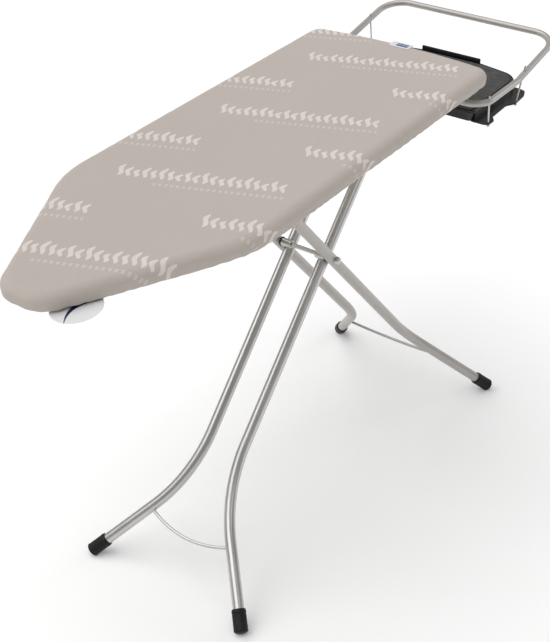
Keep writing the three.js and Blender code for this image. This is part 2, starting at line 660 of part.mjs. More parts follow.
function makeHolder() {
  const guard = tube(guardStations(), GUARD_RADIUS, GUARD_WALL, 10);
  const drill = HANGERS.map(([, run]) => pin(run[1],
    run[0].clone().lerp(run[1], -0.1), HANGER_RADIUS + 0.5, 8));
  add('guard_tube', cut(guard, ...drill), paintedSteel);
  for (const [name, run] of HANGERS) {
    const stations = run.length > 2 ? bentLine([[run[0]], [run[1], 7], [run[2], 9], [run[3]]], 3)
      : run;
    add(`hanger_rod_${name}`, tube(stations, HANGER_RADIUS, 0, 8), zincSteel);
  }
  for (const [name, run] of HANGERS.slice(0, 3)) {
    const up = run[0].clone().sub(run[1]).normalize();
    const low = run[1].clone().addScaledVector(up, 1.5 / up.z);
    const nut = pin(low, low.clone().addScaledVector(up, 4), 4.2, 6);
    const bore = pin(run[1].clone().addScaledVector(up, -5), run[0], HANGER_RADIUS + 0.5, 10);
    add(`hanger_nut_${name}`, cut(nut, bore), zincSteel);
  }
  for (const [name, side] of SIDES) {
    const ends = [GUARD_END_X - 20, GUARD_END_X + 12];
    const web = rectangle(...ends, GUARD_LOW_Z - 14, FLANGE_TOP);
    web.holes.push(slotHole(GUARD_END_X, GUARD_END_X, GUARD_LOW_Z, GUARD_RADIUS + GAP));
    const y0 = side > 0 ? 118 : -118 - SHEET;
    const f0 = side > 0 ? 100 : -118 - SHEET;
    const clamp = join(sidePlate(web, y0, y0 + SHEET),
      block(...ends, f0, f0 + 18 + SHEET, FLANGE_TOP - SHEET, FLANGE_TOP));
    add(`guard_clamp_${name}`, cut(clamp, screwHole(CLAMP_SCREW, side)), zincSteel);
    add(`clamp_screw_${name}`, screw(CLAMP_SCREW, side), zincSteel);
  }
}

// ---------------------------------------------------------------- trim

function makeTrim() {
  add('edge_label', block(1210, 1236, -28, 24, TOP_Z + GAP, TOP_Z + GAP + 0.8), whiteTape);
  const card = new THREE.Shape().absellipse(60, -78, 50, 43, 0, Math.PI * 2);
  const geometry = new THREE.ExtrudeGeometry(card, {
    depth: 1, bevelEnabled: false, curveSegments: 16,
  });
  add('oval_tag', geometry.translate(0, 0, coverBase - GAP - 1), whiteCard);
}

makeTop();
makeBraces();
makeRails();
makeFrontLegs();
makeRearLegs();
makeLever();
makeTray();
makeHolder();
makeTrim();

// origin on the floor under the middle of the object
part.position.x = -(GUARD_BACK_X + GUARD_RADIUS) / 2;

export default part;
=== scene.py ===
# %% [markdown]
# # An ironing board, finished around its solid model
#
# The solid model already holds every tube, bracket and joint at its real size. This lesson loads
# it as a fixed frame and gives each visible piece its fine surface: the padded cover and its
# gathered hem, the expanded metal under it, the bent tubes, the rubber feet and the tray. Each
# piece is a surface worked out with numpy as a function of two parameters, so its shape can be
# read from a formula and changed by changing a number.

import bpy
import bmesh
import numpy as np
from mathutils import Matrix, Vector


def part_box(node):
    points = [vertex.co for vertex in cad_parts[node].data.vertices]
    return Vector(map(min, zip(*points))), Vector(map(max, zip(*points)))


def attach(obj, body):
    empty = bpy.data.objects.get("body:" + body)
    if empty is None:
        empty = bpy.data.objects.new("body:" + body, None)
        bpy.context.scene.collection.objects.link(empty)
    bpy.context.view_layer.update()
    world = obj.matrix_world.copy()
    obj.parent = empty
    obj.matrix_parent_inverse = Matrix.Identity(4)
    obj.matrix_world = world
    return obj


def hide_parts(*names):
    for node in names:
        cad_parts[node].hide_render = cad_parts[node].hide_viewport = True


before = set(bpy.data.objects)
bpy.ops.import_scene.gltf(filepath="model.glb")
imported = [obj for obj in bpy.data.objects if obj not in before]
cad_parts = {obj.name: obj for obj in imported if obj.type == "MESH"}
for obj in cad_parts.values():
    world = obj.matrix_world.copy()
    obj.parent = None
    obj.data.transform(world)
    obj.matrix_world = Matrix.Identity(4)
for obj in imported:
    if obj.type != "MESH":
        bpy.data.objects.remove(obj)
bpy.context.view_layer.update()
NOSE_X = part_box("cover")[0].x

# %% [markdown]
# ## Places
#
# A maker measures this board from the tip of its nose, its centre line and the floor, in
# millimetres. The frame counts in metres from under the middle of the whole object. One small
# function turns the first into the second, and every piece uses it.

# %% Millimetres from the nose to metres in the frame


def at(x, y, z):
    """A place from the nose tip, the centre line and the floor in mm, as metres in the frame."""
    return np.stack(np.broadcast_arrays(
        np.asarray(x, float) / 1000 + NOSE_X, np.asarray(y, float) / 1000,
        np.asarray(z, float) / 1000), axis=-1)


print("nose tip at", at(0, 0, 952).round(3), "and square end at", at(1240, 0, 952).round(3))

# %% [markdown]
# ## Camera
#
# The board is seen from above its nose and a little to its near side, from about three metres
# away, through a long lens: from far off the long sides look nearly parallel. The
# camera could be aimed by a constraint, but building its axes from two angles, a distance and a
# roll says exactly where it is. The small shift slides the frame without turning the view.

# %% Put the camera in place
CAMERA = {"target": at(620, 0, 600), "around": 217.918, "above": 33.490, "roll": 2.072,
          "distance": 2.77675, "slide": (0.00112, 0.00087)}


def make_camera(target, around, above, roll, distance, slide):
    """Looks at target from around and above it, in degrees, then rolls about the line of sight."""
    turn, lift, roll = np.radians([around, above, roll])
    sight = -np.array([np.cos(lift) * np.cos(turn), np.cos(lift) * np.sin(turn), np.sin(lift)])
    right = np.cross(sight, [0, 0, 1])
    right /= np.linalg.norm(right)
    down = np.cross(sight, right)
    right, down = (np.cos(roll) * right + np.sin(roll) * down,
                   np.cos(roll) * down - np.sin(roll) * right)
    place = target - sight * distance + right * slide[0] + down * slide[1]
    camera = bpy.data.objects.new("camera", bpy.data.cameras.new("camera"))
    camera.matrix_world = Matrix([[*row, p] for row, p in zip(np.array([right, -down, -sight]).T, place)]
                                 + [[0, 0, 0, 1]])
    camera.data.lens = 73.71
    camera.data.sensor_width = 36
    camera.data.shift_x, camera.data.shift_y = 0.0447, -0.0376
    camera.data.clip_start, camera.data.clip_end = 0.1, 60
    bpy.context.scene.collection.objects.link(camera)
    bpy.context.scene.camera = camera
    return camera


camera = make_camera(**CAMERA)
print("camera at", [round(v, 3) for v in camera.matrix_world.translation])

# %% [markdown]
# ## From arrays to meshes
#
# A surface with two parameters is a grid of points: one parameter picks the row, the other the
# place in the row. The faces follow from the numbering alone, so they are the same arithmetic
# for a tube, a cover or a cap. A grid can close on itself in either direction, which is how a
# tube closes round its axis and a hollow tube closes from its outside to its inside.
#
# Whether a closed shape points outwards can be tested: the sum of the little volumes between
# each face and the origin is negative when it is inside out, and then every face is turned.

# %% Grids, volumes and mesh objects


def grid(rows, columns, wrap_rows=False, wrap_columns=False):
    """Corner numbers of the faces between neighbouring points of a grid stored row by row."""
    i = np.arange(rows if wrap_rows else rows - 1)[:, None]
    j = np.arange(columns if wrap_columns else columns - 1)[None, :]
    below, beside = (i + 1) % rows, (j + 1) % columns
    corners = [i * columns + j, below * columns + j, below * columns + beside, i * columns + beside]
    return np.stack(np.broadcast_arrays(*corners), axis=-1).reshape(-1, 4)


def volume(points, quads):
    """Signed volume inside a closed grid: a sixth of the triple products of its triangles."""
    a, b, c, d = (points[quads[:, k]] for k in range(4))
    halves = np.cross(a, b) * c + np.cross(a, c) * d
    return float(halves.sum()) / 6


def outward(points, quads):
    """The faces turned, where needed, so that the closed shape points outwards."""
    return quads if volume(points, quads) > 0 else quads[:, ::-1]


def joined(*parts):
    """Several (points, quads) as one, the faces renumbered past the points before them."""
    starts = np.cumsum([0] + [len(points) for points, _ in parts[:-1]])
    return (np.concatenate([points for points, _ in parts]),
            np.concatenate([quads + start for (_, quads), start in zip(parts, starts)]))


def closed(part):
    """A closed (points, quads) with its faces pointing outwards."""
    points, quads = part
    return points, outward(points, quads)


made = {}


def make_piece(name, part, finish, body, replaces=(), crease=38, cloth_map=None):
    """Turns (points, quads) into a smooth-shaded mesh object that rides on a body."""
    points, quads = part
    mesh = bpy.data.meshes.new(name)
    mesh.vertices.add(len(points))
    mesh.vertices.foreach_set("co", points.astype(np.float32).ravel())
    mesh.loops.add(quads.size)
    mesh.loops.foreach_set("vertex_index", quads.astype(np.int32).ravel())
    mesh.polygons.add(len(quads))
    mesh.polygons.foreach_set("loop_start", np.arange(0, quads.size, 4, dtype=np.int32))
    mesh.polygons.foreach_set("loop_total", np.full(len(quads), 4, np.int32))
    mesh.update(calc_edges=True)
    if cloth_map is not None:
        layer = mesh.uv_layers.new(name="cloth")
        layer.data.foreach_set("uv", cloth_map[quads.ravel()].astype(np.float32).ravel())
    weld(mesh)
    mesh.polygons.foreach_set("use_smooth", np.ones(len(mesh.polygons), bool))
    mesh.set_sharp_from_angle(angle=np.radians(crease))
    piece = bpy.data.objects.new(name, mesh)
    bpy.context.scene.collection.objects.link(piece)
    mesh.materials.append(finish)
    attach(piece, body)
    if replaces:
        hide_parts(*replaces)
    made[name] = piece
    return piece


def weld(mesh):
    """Merges corners at the same place, which closes seams and poles, and drops empty faces."""
    work = bmesh.new()
    work.from_mesh(mesh)
    bmesh.ops.remove_doubles(work, verts=work.verts, dist=2e-6)
    bmesh.ops.dissolve_degenerate(work, edges=work.edges, dist=1e-7)
    work.to_mesh(mesh)
    work.free()


print("a 4 by 3 grid has", len(grid(4, 3)), "faces, and", len(grid(4, 3, True, True)),
      "when closed both ways")

# %% [markdown]
# ## Writing materials
#
# A material is a graph of nodes. Placing each node by hand fills pages, so a small pen writes
# them: it adds a node, plugs numbers or other nodes' outputs into its inputs, and returns the
# output. Effects that several finishes share are made once as node groups with named inputs, and
# the groups put out only values, never shaders, so each finish keeps its own Principled shader.

# %% A pen for node graphs


class Pen:
    """Adds nodes to one graph and wires them, so that a formula reads as nested calls."""

    def __init__(self, graph):
        self.graph = graph

    def node(self, kind, inputs=(), output=0, **settings):
        """Adds a node. inputs maps input names or numbers to values or to other outputs."""
        node = self.graph.nodes.new(kind)
        for key, value in settings.items():
            setattr(node, key, value)
        for key, value in dict(inputs).items():
            if isinstance(value, bpy.types.NodeSocket):
                self.graph.links.new(value, node.inputs[key])
            else:
                node.inputs[key].default_value = value
        return node.outputs[output]

    def math(self, operation, a, b=0.0, c=0.0):
        return self.node("ShaderNodeMath", {0: a, 1: b, 2: c}, operation=operation)

    def vector(self, operation, a, b=(0, 0, 0), output=0):
        return self.node("ShaderNodeVectorMath", {0: a, 1: b}, output, operation=operation)

    def split(self, vector):
        node = self.graph.nodes.new("ShaderNodeSeparateXYZ")
        self.graph.links.new(vector, node.inputs[0])
        return node.outputs

    def noise(self, vector, scale, detail=3.0, roughness=0.55):
        return self.node("ShaderNodeTexNoise", {"Vector": vector, "Scale": scale,
                         "Detail": detail, "Roughness": roughness})

    def ramp(self, value, low, high, to_low=0.0, to_high=1.0, smooth=True):
        """Maps low..high to to_low..to_high, held flat outside."""
        return self.node("ShaderNodeMapRange", {"Value": value, "From Min": low, "From Max": high,
                         "To Min": to_low, "To Max": to_high},
                         interpolation_type="SMOOTHSTEP" if smooth else "LINEAR")

    def mix(self, share, a, b):
        node = self.graph.nodes.new("ShaderNodeMix")
        node.data_type = "RGBA"
        for key, value in ((0, share), (6, a), (7, b)):
            if isinstance(value, bpy.types.NodeSocket):
                self.graph.links.new(value, node.inputs[key])
            else:
                node.inputs[key].default_value = value
        return node.outputs[2]


def srgb(red, green, blue):
    """A colour as seen on a screen, 0 to 255, as the linear light that shaders work in."""
    seen = np.array([red, green, blue]) / 255
    light = np.where(seen <= 0.04045, seen / 12.92, ((seen + 0.055) / 1.055) ** 2.4)
    return (*light.tolist(), 1.0)


def new_group(name, inputs, outputs):
    """An empty node group with named inputs and outputs: its pen, its inputs, its output node."""
    graph = bpy.data.node_groups.new(name, "ShaderNodeTree")
    for key, kind, value in inputs:
        socket = graph.interface.new_socket(key, in_out="INPUT", socket_type=kind)
        if value is not None:
            socket.default_value = value
    for key, kind in outputs:
        graph.interface.new_socket(key, in_out="OUTPUT", socket_type=kind)
    given = graph.nodes.new("NodeGroupInput").outputs
    return Pen(graph), given, graph.nodes.new("NodeGroupOutput")


FLOAT, VECTOR = "NodeSocketFloat", "NodeSocketVector"
print("pen ready, mid grey 128 is", round(srgb(128, 128, 128)[0], 3), "in linear light")

# %% [markdown]
# ## Shared effect: plain weave
#
# Woven cloth is threads going over and under each other. Up close each crossing is a small bump,
# and its neighbours are a half step lower. Two sine waves at right angles, multiplied, give the
# over-and-under pattern, and each thread's round top comes from the wave's own shape. A little
# noise makes some threads thicker, which is what shows from further away.

# %% Group: weave


def make_weave():
    pen, given, result = new_group("weave", [("Vector", VECTOR, None), ("Threads", FLOAT, 1400.0),
                                   ("Slub", FLOAT, 0.3)],
                                   [("Height", FLOAT), ("Shade", FLOAT)])
    x, y, _ = pen.split(given["Vector"])
    turns = pen.math("MULTIPLY", given["Threads"], np.pi)
    warp = pen.math("SINE", pen.math("MULTIPLY", x, turns))
    weft = pen.math("SINE", pen.math("MULTIPLY", y, turns))
    crossing = pen.math("MULTIPLY", warp, weft)
    uneven = pen.noise(pen.vector("MULTIPLY", given["Vector"], (90, 600, 1)), 1.0, 2.0)
    across = pen.noise(pen.vector("MULTIPLY", given["Vector"], (600, 90, 1)), 1.0, 2.0)
    slub = pen.math("SUBTRACT", pen.math("ADD", uneven, across), 1.0)
    height = pen.math("MULTIPLY_ADD", slub, given["Slub"], crossing)
    shade = pen.ramp(pen.math("MULTIPLY_ADD", slub, 1.2, pen.math("MULTIPLY", crossing, 0.35)),
                     -1.0, 1.0, smooth=False)
    pen.graph.links.new(height, result.inputs["Height"])
    pen.graph.links.new(shade, result.inputs["Shade"])
    return pen.graph


weave = make_weave()
print("weave:", len(weave.nodes), "nodes")

# %% [markdown]
# ## Shared effect: grain and handling
#
# Bent steel tube keeps faint marks along its length from the drawing die and the polishing
# belt, and every surface that is handled has patches that are a little duller. Noise stretched
# far along the tube gives the first, and broad noise gives the second. A moulded or painted
# surface uses the same group with its stretch set to one, as an orange-peel skin.

# %% Group: grain


def make_grain():
    pen, given, result = new_group("grain", [("Vector", VECTOR, None), ("Scale", FLOAT, 900.0),
                                   ("Stretch", VECTOR, (1, 1, 1)), ("Patches", FLOAT, 9.0)],
                                   [("Fine", FLOAT), ("Patch", FLOAT)])
    along = pen.vector("MULTIPLY", given["Vector"], given["Stretch"])
    fine = pen.noise(along, given["Scale"], 4.0, 0.6)
    patch = pen.ramp(pen.noise(given["Vector"], given["Patches"], 3.0), 0.35, 0.68)
    pen.graph.links.new(fine, result.inputs["Fine"])
    pen.graph.links.new(patch, result.inputs["Patch"])
    return pen.graph


grain = make_grain()
print("grain:", len(grain.nodes), "nodes")

# %% [markdown]
# ## Shared effect: dust and edge wear
#
# Dust settles on what faces up, and edges lose their finish first. The face's own direction
# gives the first, and the pointiness of the mesh gives the second. Both are broken up with
# noise, because neither is ever even.

# %% Group: dust and wear


def make_ageing():
    pen, given, result = new_group("ageing", [("Vector", VECTOR, None), ("Dust", FLOAT, 0.15),
                                   ("Wear", FLOAT, 0.3)], [("Dust", FLOAT), ("Wear", FLOAT)])
    up = pen.split(pen.node("ShaderNodeNewGeometry", output="Normal"))[2]
    speckle = pen.ramp(pen.noise(given["Vector"], 60.0, 5.0, 0.7), 0.4, 0.75)
    dust = pen.math("MULTIPLY", pen.math("MULTIPLY", pen.ramp(up, 0.3, 1.0), speckle), given["Dust"])
    point = pen.node("ShaderNodeNewGeometry", output="Pointiness")
    rub = pen.math("MULTIPLY", pen.ramp(point, 0.51, 0.6),
                   pen.ramp(pen.noise(given["Vector"], 180.0, 3.0), 0.3, 0.6))
    pen.graph.links.new(dust, result.inputs["Dust"])
    pen.graph.links.new(pen.math("MULTIPLY", rub, given["Wear"]), result.inputs["Wear"])
    return pen.graph


ageing = make_ageing()
print("ageing:", len(ageing.nodes), "nodes")

# %% [markdown]
# ## Metal, rubber and plastic finishes
#
# All of these are one recipe with other numbers: a base colour that drifts a little, a
# roughness that follows the grain and the handling, a fine bump, and some dust. The shader's
# constants, such as coat and specular level, are set straight on its sockets.

# %% Solid finishes


def finish_pen(name):
    """A new material with an empty graph, its pen, and its Principled shader."""
    material = bpy.data.materials.new(name)
    material.use_nodes = True
    graph = material.node_tree
    graph.nodes.clear()
    shader = graph.nodes.new("ShaderNodeBsdfPrincipled")
    out = graph.nodes.new("ShaderNodeOutputMaterial")
    graph.links.new(shader.outputs[0], out.inputs["Surface"])
    return material, Pen(graph), shader


def place_group(pen, group, **inputs):
    """Puts a shared group in a material and plugs its inputs. Returns its outputs by name."""
    node = pen.graph.nodes.new("ShaderNodeGroup")
    node.node_tree = group
    for key, value in inputs.items():
        if isinstance(value, bpy.types.NodeSocket):
            pen.graph.links.new(value, node.inputs[key])
        else:
            node.inputs[key].default_value = value
    return node.outputs


def bump(pen, shader, height, strength, distance):
    normal = pen.node("ShaderNodeBump", {"Height": height, "Strength": strength,
                      "Distance": distance}, "Normal")
    pen.graph.links.new(normal, shader.inputs["Normal"])


def solid_finish(name, colour, darker, metal, rough, rough_swing, scale, stretch=(1, 1, 1),
                 depth=0.00002, dust=0.1, wear=0.0, worn=None, **constants):
    """A finish for metal, rubber or plastic: drifting colour, grain, handling marks and dust."""
    material, pen, shader = finish_pen(name)
    place = pen.node("ShaderNodeTexCoord", output="Object")
    marks = place_group(pen, grain, Vector=place, Scale=scale, Stretch=stretch)
    aged = place_group(pen, ageing, Vector=place, Dust=dust, Wear=wear)
    drift = pen.math("MULTIPLY", pen.math("ADD", marks["Fine"], marks["Patch"]), 0.5)
    base = pen.mix(drift, srgb(*darker), srgb(*colour))
    if worn is not None:
        base = pen.mix(aged["Wear"], base, srgb(*worn))
    base = pen.mix(aged["Dust"], base, srgb(176, 171, 163))
    pen.graph.links.new(base, shader.inputs["Base Color"])
    swing = pen.math("MULTIPLY_ADD", pen.math("SUBTRACT", marks["Patch"], 0.5), rough_swing, rough)
    grainy = pen.math("MULTIPLY_ADD", pen.math("SUBTRACT", marks["Fine"], 0.5), rough_swing, swing)
    pen.graph.links.new(pen.math("MULTIPLY_ADD", aged["Dust"], 0.4, grainy),
                        shader.inputs["Roughness"])
    shader.inputs["Metallic"].default_value = metal
    bump(pen, shader, marks["Fine"], 0.6, depth)
    for key, value in constants.items():
        shader.inputs[key.replace("_", " ")].default_value = value
    return material


satin_chrome = solid_finish("satin_chrome", (205, 203, 201), (192, 190, 188), 1.0, 0.3, 0.04,
                            1500, depth=0.0000015, dust=0.02)
silver_paint = solid_finish("silver_paint", (187, 183, 179), (176, 172, 168), 0.5, 0.4, 0.05,
                            2600, depth=0.000005, dust=0.04, wear=0.3, worn=(130, 128, 126))
zinc = solid_finish("zinc_plate", (208, 207, 203), (188, 187, 184), 1.0, 0.36, 0.12, 260,
                    depth=0.00001, dust=0.05, wear=0.3, worn=(120, 118, 116))
foot_rubber = solid_finish("foot_rubber", (17, 17, 17), (10, 10, 10), 0.0, 0.55, 0.12, 1800,
                           depth=0.00004, dust=0.05, Specular_IOR_Level=0.3)
tray_plastic = solid_finish("tray_plastic", (16, 15, 15), (11, 10, 10), 0.0, 0.24, 0.08, 2200,
                            depth=0.00002, dust=0.03, Specular_IOR_Level=0.55)
grip_plastic = solid_finish("grip_plastic", (34, 33, 33), (24, 23, 23), 0.0, 0.48, 0.1, 2000,
                            depth=0.00003, dust=0.05)
mat_rubber = solid_finish("mat_rubber", (66, 66, 66), (55, 55, 55), 0.0, 0.7, 0.1, 1500,
                          depth=0.00004, dust=0.12)
print("finishes:", ", ".join(m.name for m in bpy.data.materials if m.use_nodes and m.users == 0))

# %% [markdown]
# ## The cover's cloth
#
# The cover is beige cotton with a pale print that repeats in slanting rows: a line of rising
# steam wisps over a line of small dashes, both of this lesson's own design. The print is worked
# out from the cloth map, which holds each point's place on the cloth as it was before it was
# bent over the edge, in metres, so that the print runs on round the edge as it does on real
# cloth. Rows of a repeat that lean against each other are one division with a remainder along
# the row, once each row has been slid by its own share.

# %% Print: wisps and dashes
PRINT = {"start": (-0.38975, 0.134), "lean": -68.95, "repeat": 0.5486, "row": 0.1507,
         "slide": 0.2163, "long": 0.338, "tall": 0.047, "wisp": 0.0169}


def make_print():
    pen, given, result = new_group("steam_print", [("Vector", VECTOR, None)],
                                   [("Wisps", FLOAT), ("Dashes", FLOAT)])
    angle = np.radians(PRINT["lean"])
    shifted = pen.vector("SUBTRACT", given["Vector"], (*PRINT["start"], 0))
    wobble = pen.node("ShaderNodeTexNoise", {"Vector": given["Vector"], "Scale": 30.0}, "Color")
    shifted = pen.vector("ADD", shifted, pen.vector("MULTIPLY", pen.vector(
        "SUBTRACT", wobble, (0.5, 0.5, 0.5)), (0.0016, 0.0016, 0)))
    along = pen.vector("DOT_PRODUCT", shifted, (np.cos(angle), np.sin(angle), 0), output=1)
    up = pen.vector("DOT_PRODUCT", shifted, (-np.sin(angle), np.cos(angle), 0), output=1)
    row = pen.math("FLOOR", pen.math("DIVIDE", pen.math("ADD", up, 0.045), PRINT["row"]))
    v = pen.math("SUBTRACT", up, pen.math("MULTIPLY", row, PRINT["row"]))
    slid = pen.math("MULTIPLY_ADD", row, PRINT["slide"], along)
    u = pen.math("FLOORED_MODULO", slid, PRINT["repeat"])

    # wisps: a wave up the middle of each cell, thick at its middle and thin at its ends
    cell = pen.math("FLOOR", pen.math("DIVIDE", u, PRINT["wisp"]))
    inside = pen.math("SUBTRACT", pen.math("FLOORED_MODULO", u, PRINT["wisp"]), PRINT["wisp"] / 2)
    odd = pen.math("FLOORED_MODULO", cell, 2.0)
    fifth = pen.math("FLOORED_MODULO", pen.math("MULTIPLY", cell, 2.0), 5.0)
    tall = pen.math("MULTIPLY_ADD", fifth, -0.0042, PRINT["tall"])
    share = pen.math("DIVIDE", v, tall)
    swing = pen.math("SINE", pen.math("MULTIPLY_ADD", share, 2.2 * np.pi,
                     pen.math("MULTIPLY", odd, 0.9)))
    off = pen.math("ABSOLUTE", pen.math("MULTIPLY_ADD", swing, -0.0030, inside))
    belly = pen.math("SUBTRACT", 1.0, pen.math("POWER", pen.math(
        "ABSOLUTE", pen.math("MULTIPLY_ADD", share, 2.0, -1.0)), 4.0))
    thick = pen.math("MULTIPLY", belly, 0.0050)
    wisp = pen.ramp(pen.math("SUBTRACT", thick, off), -0.0003, 0.0006)
    wisp = pen.math("MULTIPLY", wisp, pen.math("LESS_THAN", u, PRINT["long"]))
    pen.graph.links.new(wisp, result.inputs["Wisps"])

    # dashes: short strokes in a lower, shorter line
    step = pen.math("FLOORED_MODULO", u, 0.0118)
    dash = pen.math("MULTIPLY", pen.ramp(step, 0.0028, 0.0034), pen.ramp(step, 0.0092, 0.0086))
    band = pen.math("MULTIPLY", pen.ramp(v, -0.0245, -0.0238), pen.ramp(v, -0.0142, -0.0149))
    reach = pen.math("MULTIPLY", pen.math("GREATER_THAN", u, 0.083), pen.math("LESS_THAN", u, 0.338))
    pen.graph.links.new(pen.math("MULTIPLY", pen.math("MULTIPLY", dash, band), reach),
                        result.inputs["Dashes"])
    return pen.graph


steam_print = make_print()


def make_cover_cloth():
    material, pen, shader = finish_pen("cover_cloth")
    place = pen.node("ShaderNodeUVMap", uv_map="cloth")
    threads = place_group(pen, weave, Vector=place, Threads=1300.0, Slub=0.5)
    printed = place_group(pen, steam_print, Vector=place)
    aged = place_group(pen, ageing, Vector=place, Dust=0.05, Wear=0.0)
    worn = pen.ramp(pen.noise(place, 45.0, 4.0), 0.2, 0.7, 0.8, 1.0)
    base = pen.mix(threads["Shade"], srgb(184, 175, 167), srgb(196, 187, 179))
    broad = pen.ramp(pen.noise(place, 5.0, 2.0), 0.3, 0.7)
    base = pen.mix(pen.math("MULTIPLY", broad, 0.12), base, srgb(178, 169, 161))
    base = pen.mix(pen.math("MULTIPLY", printed["Dashes"], pen.math("MULTIPLY", worn, 0.42)),
                   base, srgb(224, 216, 209))
    base = pen.mix(pen.math("MULTIPLY", printed["Wisps"], pen.math("MULTIPLY", worn, 0.95)),
                   base, srgb(224, 216, 209))
    base = pen.mix(aged["Dust"], base, srgb(206, 200, 194))
    pen.graph.links.new(base, shader.inputs["Base Color"])
    rough = pen.math("MULTIPLY_ADD", printed["Wisps"], -0.12, 0.92)
    pen.graph.links.new(rough, shader.inputs["Roughness"])
    shader.inputs["Specular IOR Level"].default_value = 0.25
    shader.inputs["Sheen Weight"].default_value = 0.12
    shader.inputs["Sheen Roughness"].default_value = 0.5
    height = pen.math("MULTIPLY_ADD", pen.noise(place, 260.0, 3.0), 0.8, threads["Height"])
    bump(pen, shader, height, 0.35, 0.00012)
    return material


cover_cloth = make_cover_cloth()
print("print repeats every", PRINT["repeat"] * 1000, "mm along a row, rows",
      PRINT["row"] * 1000, "mm apart")

# %% [markdown]
# ## The board's outline
#
# Everything in the top follows one outline: two small arcs at the nose, a straight taper on each
# side, a large shoulder arc, parallel sides, a corner arc and a slightly bowed square end. The
# arcs meet their neighbours smoothly, so a line set in from the edge is the same outline moved
# along its own normals. The outline is worked out finely once, then read off at even distances
# starting from the tip of the nose, which makes the two halves mirror each other exactly.

# %% Outline of the board
WIDTH, LENGTH = 464.0, 1240.0
NOSE, NOSE_Y, SHOULDER, CORNER, BOW = 59.0, 14.4, 410.0, 36.0, 13.4


def board_arcs():
    """Centre x, centre y, radius, first and last angle of each arc of the half with +y."""
    half = WIDTH / 2
    back = BOW + CORNER
    side = half - CORNER
    bow = (back ** 2 + side ** 2 - CORNER ** 2) / (2 * (back - CORNER))
    swing = np.arcsin(side / (bow - CORNER))
    across, rise = NOSE - SHOULDER, NOSE_Y
    taper = np.arctan2(rise, across) - np.arccos((half - NOSE) / np.hypot(across, rise))
    return [(NOSE, NOSE_Y, NOSE, np.pi, taper), (SHOULDER, 0, half, taper, np.pi / 2),
            (LENGTH - BOW - CORNER, half - CORNER, CORNER, np.pi / 2, swing),
            (LENGTH - bow, 0, bow, swing, 0)]


def board_edge(count):
    """count places round the board, clockwise from the nose tip, with the normals outwards."""
    angles = [np.linspace(a, b, 400) for *_, a, b in board_arcs()]
    points = np.concatenate([np.stack([x + r * np.cos(t), y + r * np.sin(t)], -1)
                             for (x, y, r, *_), t in zip(board_arcs(), angles)])
    normals = np.concatenate([np.stack([np.cos(t), np.sin(t)], -1) for t in angles])
    points, normals = np.vstack([[0, 0], points]), np.vstack([[-1, 0], normals])
    run = np.concatenate([[0], np.cumsum(np.hypot(*np.diff(points, axis=0).T))])
    near = np.linspace(0, run[-1], count // 2 + 1)
    half = np.stack([np.interp(near, run, column) for column in (*points.T, *normals.T)], -1)
    other = half[-2:0:-1] * (1, -1, 1, -1)
    whole = np.concatenate([half, other])
    whole[:, 2:] /= np.hypot(whole[:, 2], whole[:, 3])[:, None]
    return whole[:, :2], whole[:, 2:]


edge, edge_normal = board_edge(720)
around = np.hypot(*(np.roll(edge, -1, 0) - edge).T).sum()
print("board", np.ptp(edge, axis=0).round(1), "mm, edge", round(around), "mm round")

# %% [markdown]
# ## Layers that follow the outline
#
# The cover, the pad and the steel edge are all made of rows that run round the board. A row is
# the outline moved inwards by its inset, then drawn towards a line down the middle of the board
# by its share, at its height. A share of 1 puts every point of the row on that middle line,
# where the two sides meet and are welded, so the top needs no separate lid.

# %% Rows round the board
MIDDLE = (110.0, 1100.0)


def rows_round(inset, height, share=0.0, wave=0.0, edge=edge, normal=edge_normal):
    """Points (row, place, xyz) in mm: outline - inset * normal, mixed with the middle line."""
    inset, height, share = (np.broadcast_to(np.asarray(v, float)[..., None], np.broadcast_shapes(
        np.shape(inset), np.shape(height), np.shape(share)) + (1,)) for v in (inset, height, share))
    flat = edge - (inset + wave)[..., None] * normal
    middle = np.stack([np.clip(flat[..., 0], *MIDDLE), np.zeros(flat.shape[:-1])], -1)
    flat = flat + share[..., None] * (middle - flat)
    return np.concatenate([flat, np.broadcast_to(height, flat.shape[:-1])[..., None]], -1)


def closed_layer(rows):
    """A closed (points, quads) from rows that start and end on the middle line."""
    return closed((at(*rows.reshape(-1, 3).T), grid(len(rows), rows.shape[1], wrap_columns=True)))


print("a row on the middle line spans", np.ptp(rows_round(0, 952, 1.0)[..., 0]).round(), "mm")

# %% [markdown]
# ## The cover's profile
#
# Seen in a cut across its edge, the cloth lies flat on the pad, rolls over the edge, falls as a
# skirt, turns in under the steel rim, and ends in a rolled hem with a gathering cord hidden in
# it. The profile is a list of insets and heights built from straight stretches and arcs. The
# distance along it past the start of the edge, laid outwards from the outline, gives the cloth
# map.

# %% Profile of the cover
TOP, HEM_ROUND, HEM_INSET, BASE = 952.0, 7.0, 24.0, 915.0
EDGE_IN, EDGE_DOWN = 21.0, 19.0             # how far the soft edge reaches in and down


def bend(inset, height, radius, start, end, steps):
    """An arc or quarter ellipse about (inset, height): degrees from straight outwards."""
    wide, tall = np.broadcast_to(radius, 2)
    angle = np.radians(np.linspace(start, end, steps + 1))
    return np.stack([inset - wide * np.cos(angle), height + tall * np.sin(angle)], -1)


def cover_profile():
    """Insets and heights from 30 mm inside the edge, round it, down and under to the hem."""
    lean = 1.0
    top = np.array([(30.0, TOP), (28.0, TOP)])
    roll = bend(EDGE_IN, TOP - EDGE_DOWN, (EDGE_IN, EDGE_DOWN), 90, 0, 15)
    turn = bend(lean + HEM_ROUND, BASE + HEM_ROUND, HEM_ROUND, 0, -90, 7)
    fall = np.linspace(roll[-1], turn[0], 6)[1:-1]
    under = np.linspace(turn[-1], (HEM_INSET, BASE), 7)[1:]
    hem = bend(HEM_INSET, BASE + 1.9, 1.9, -90, -330, 7)[1:]
    return np.concatenate([top, roll, fall, turn, under, hem])


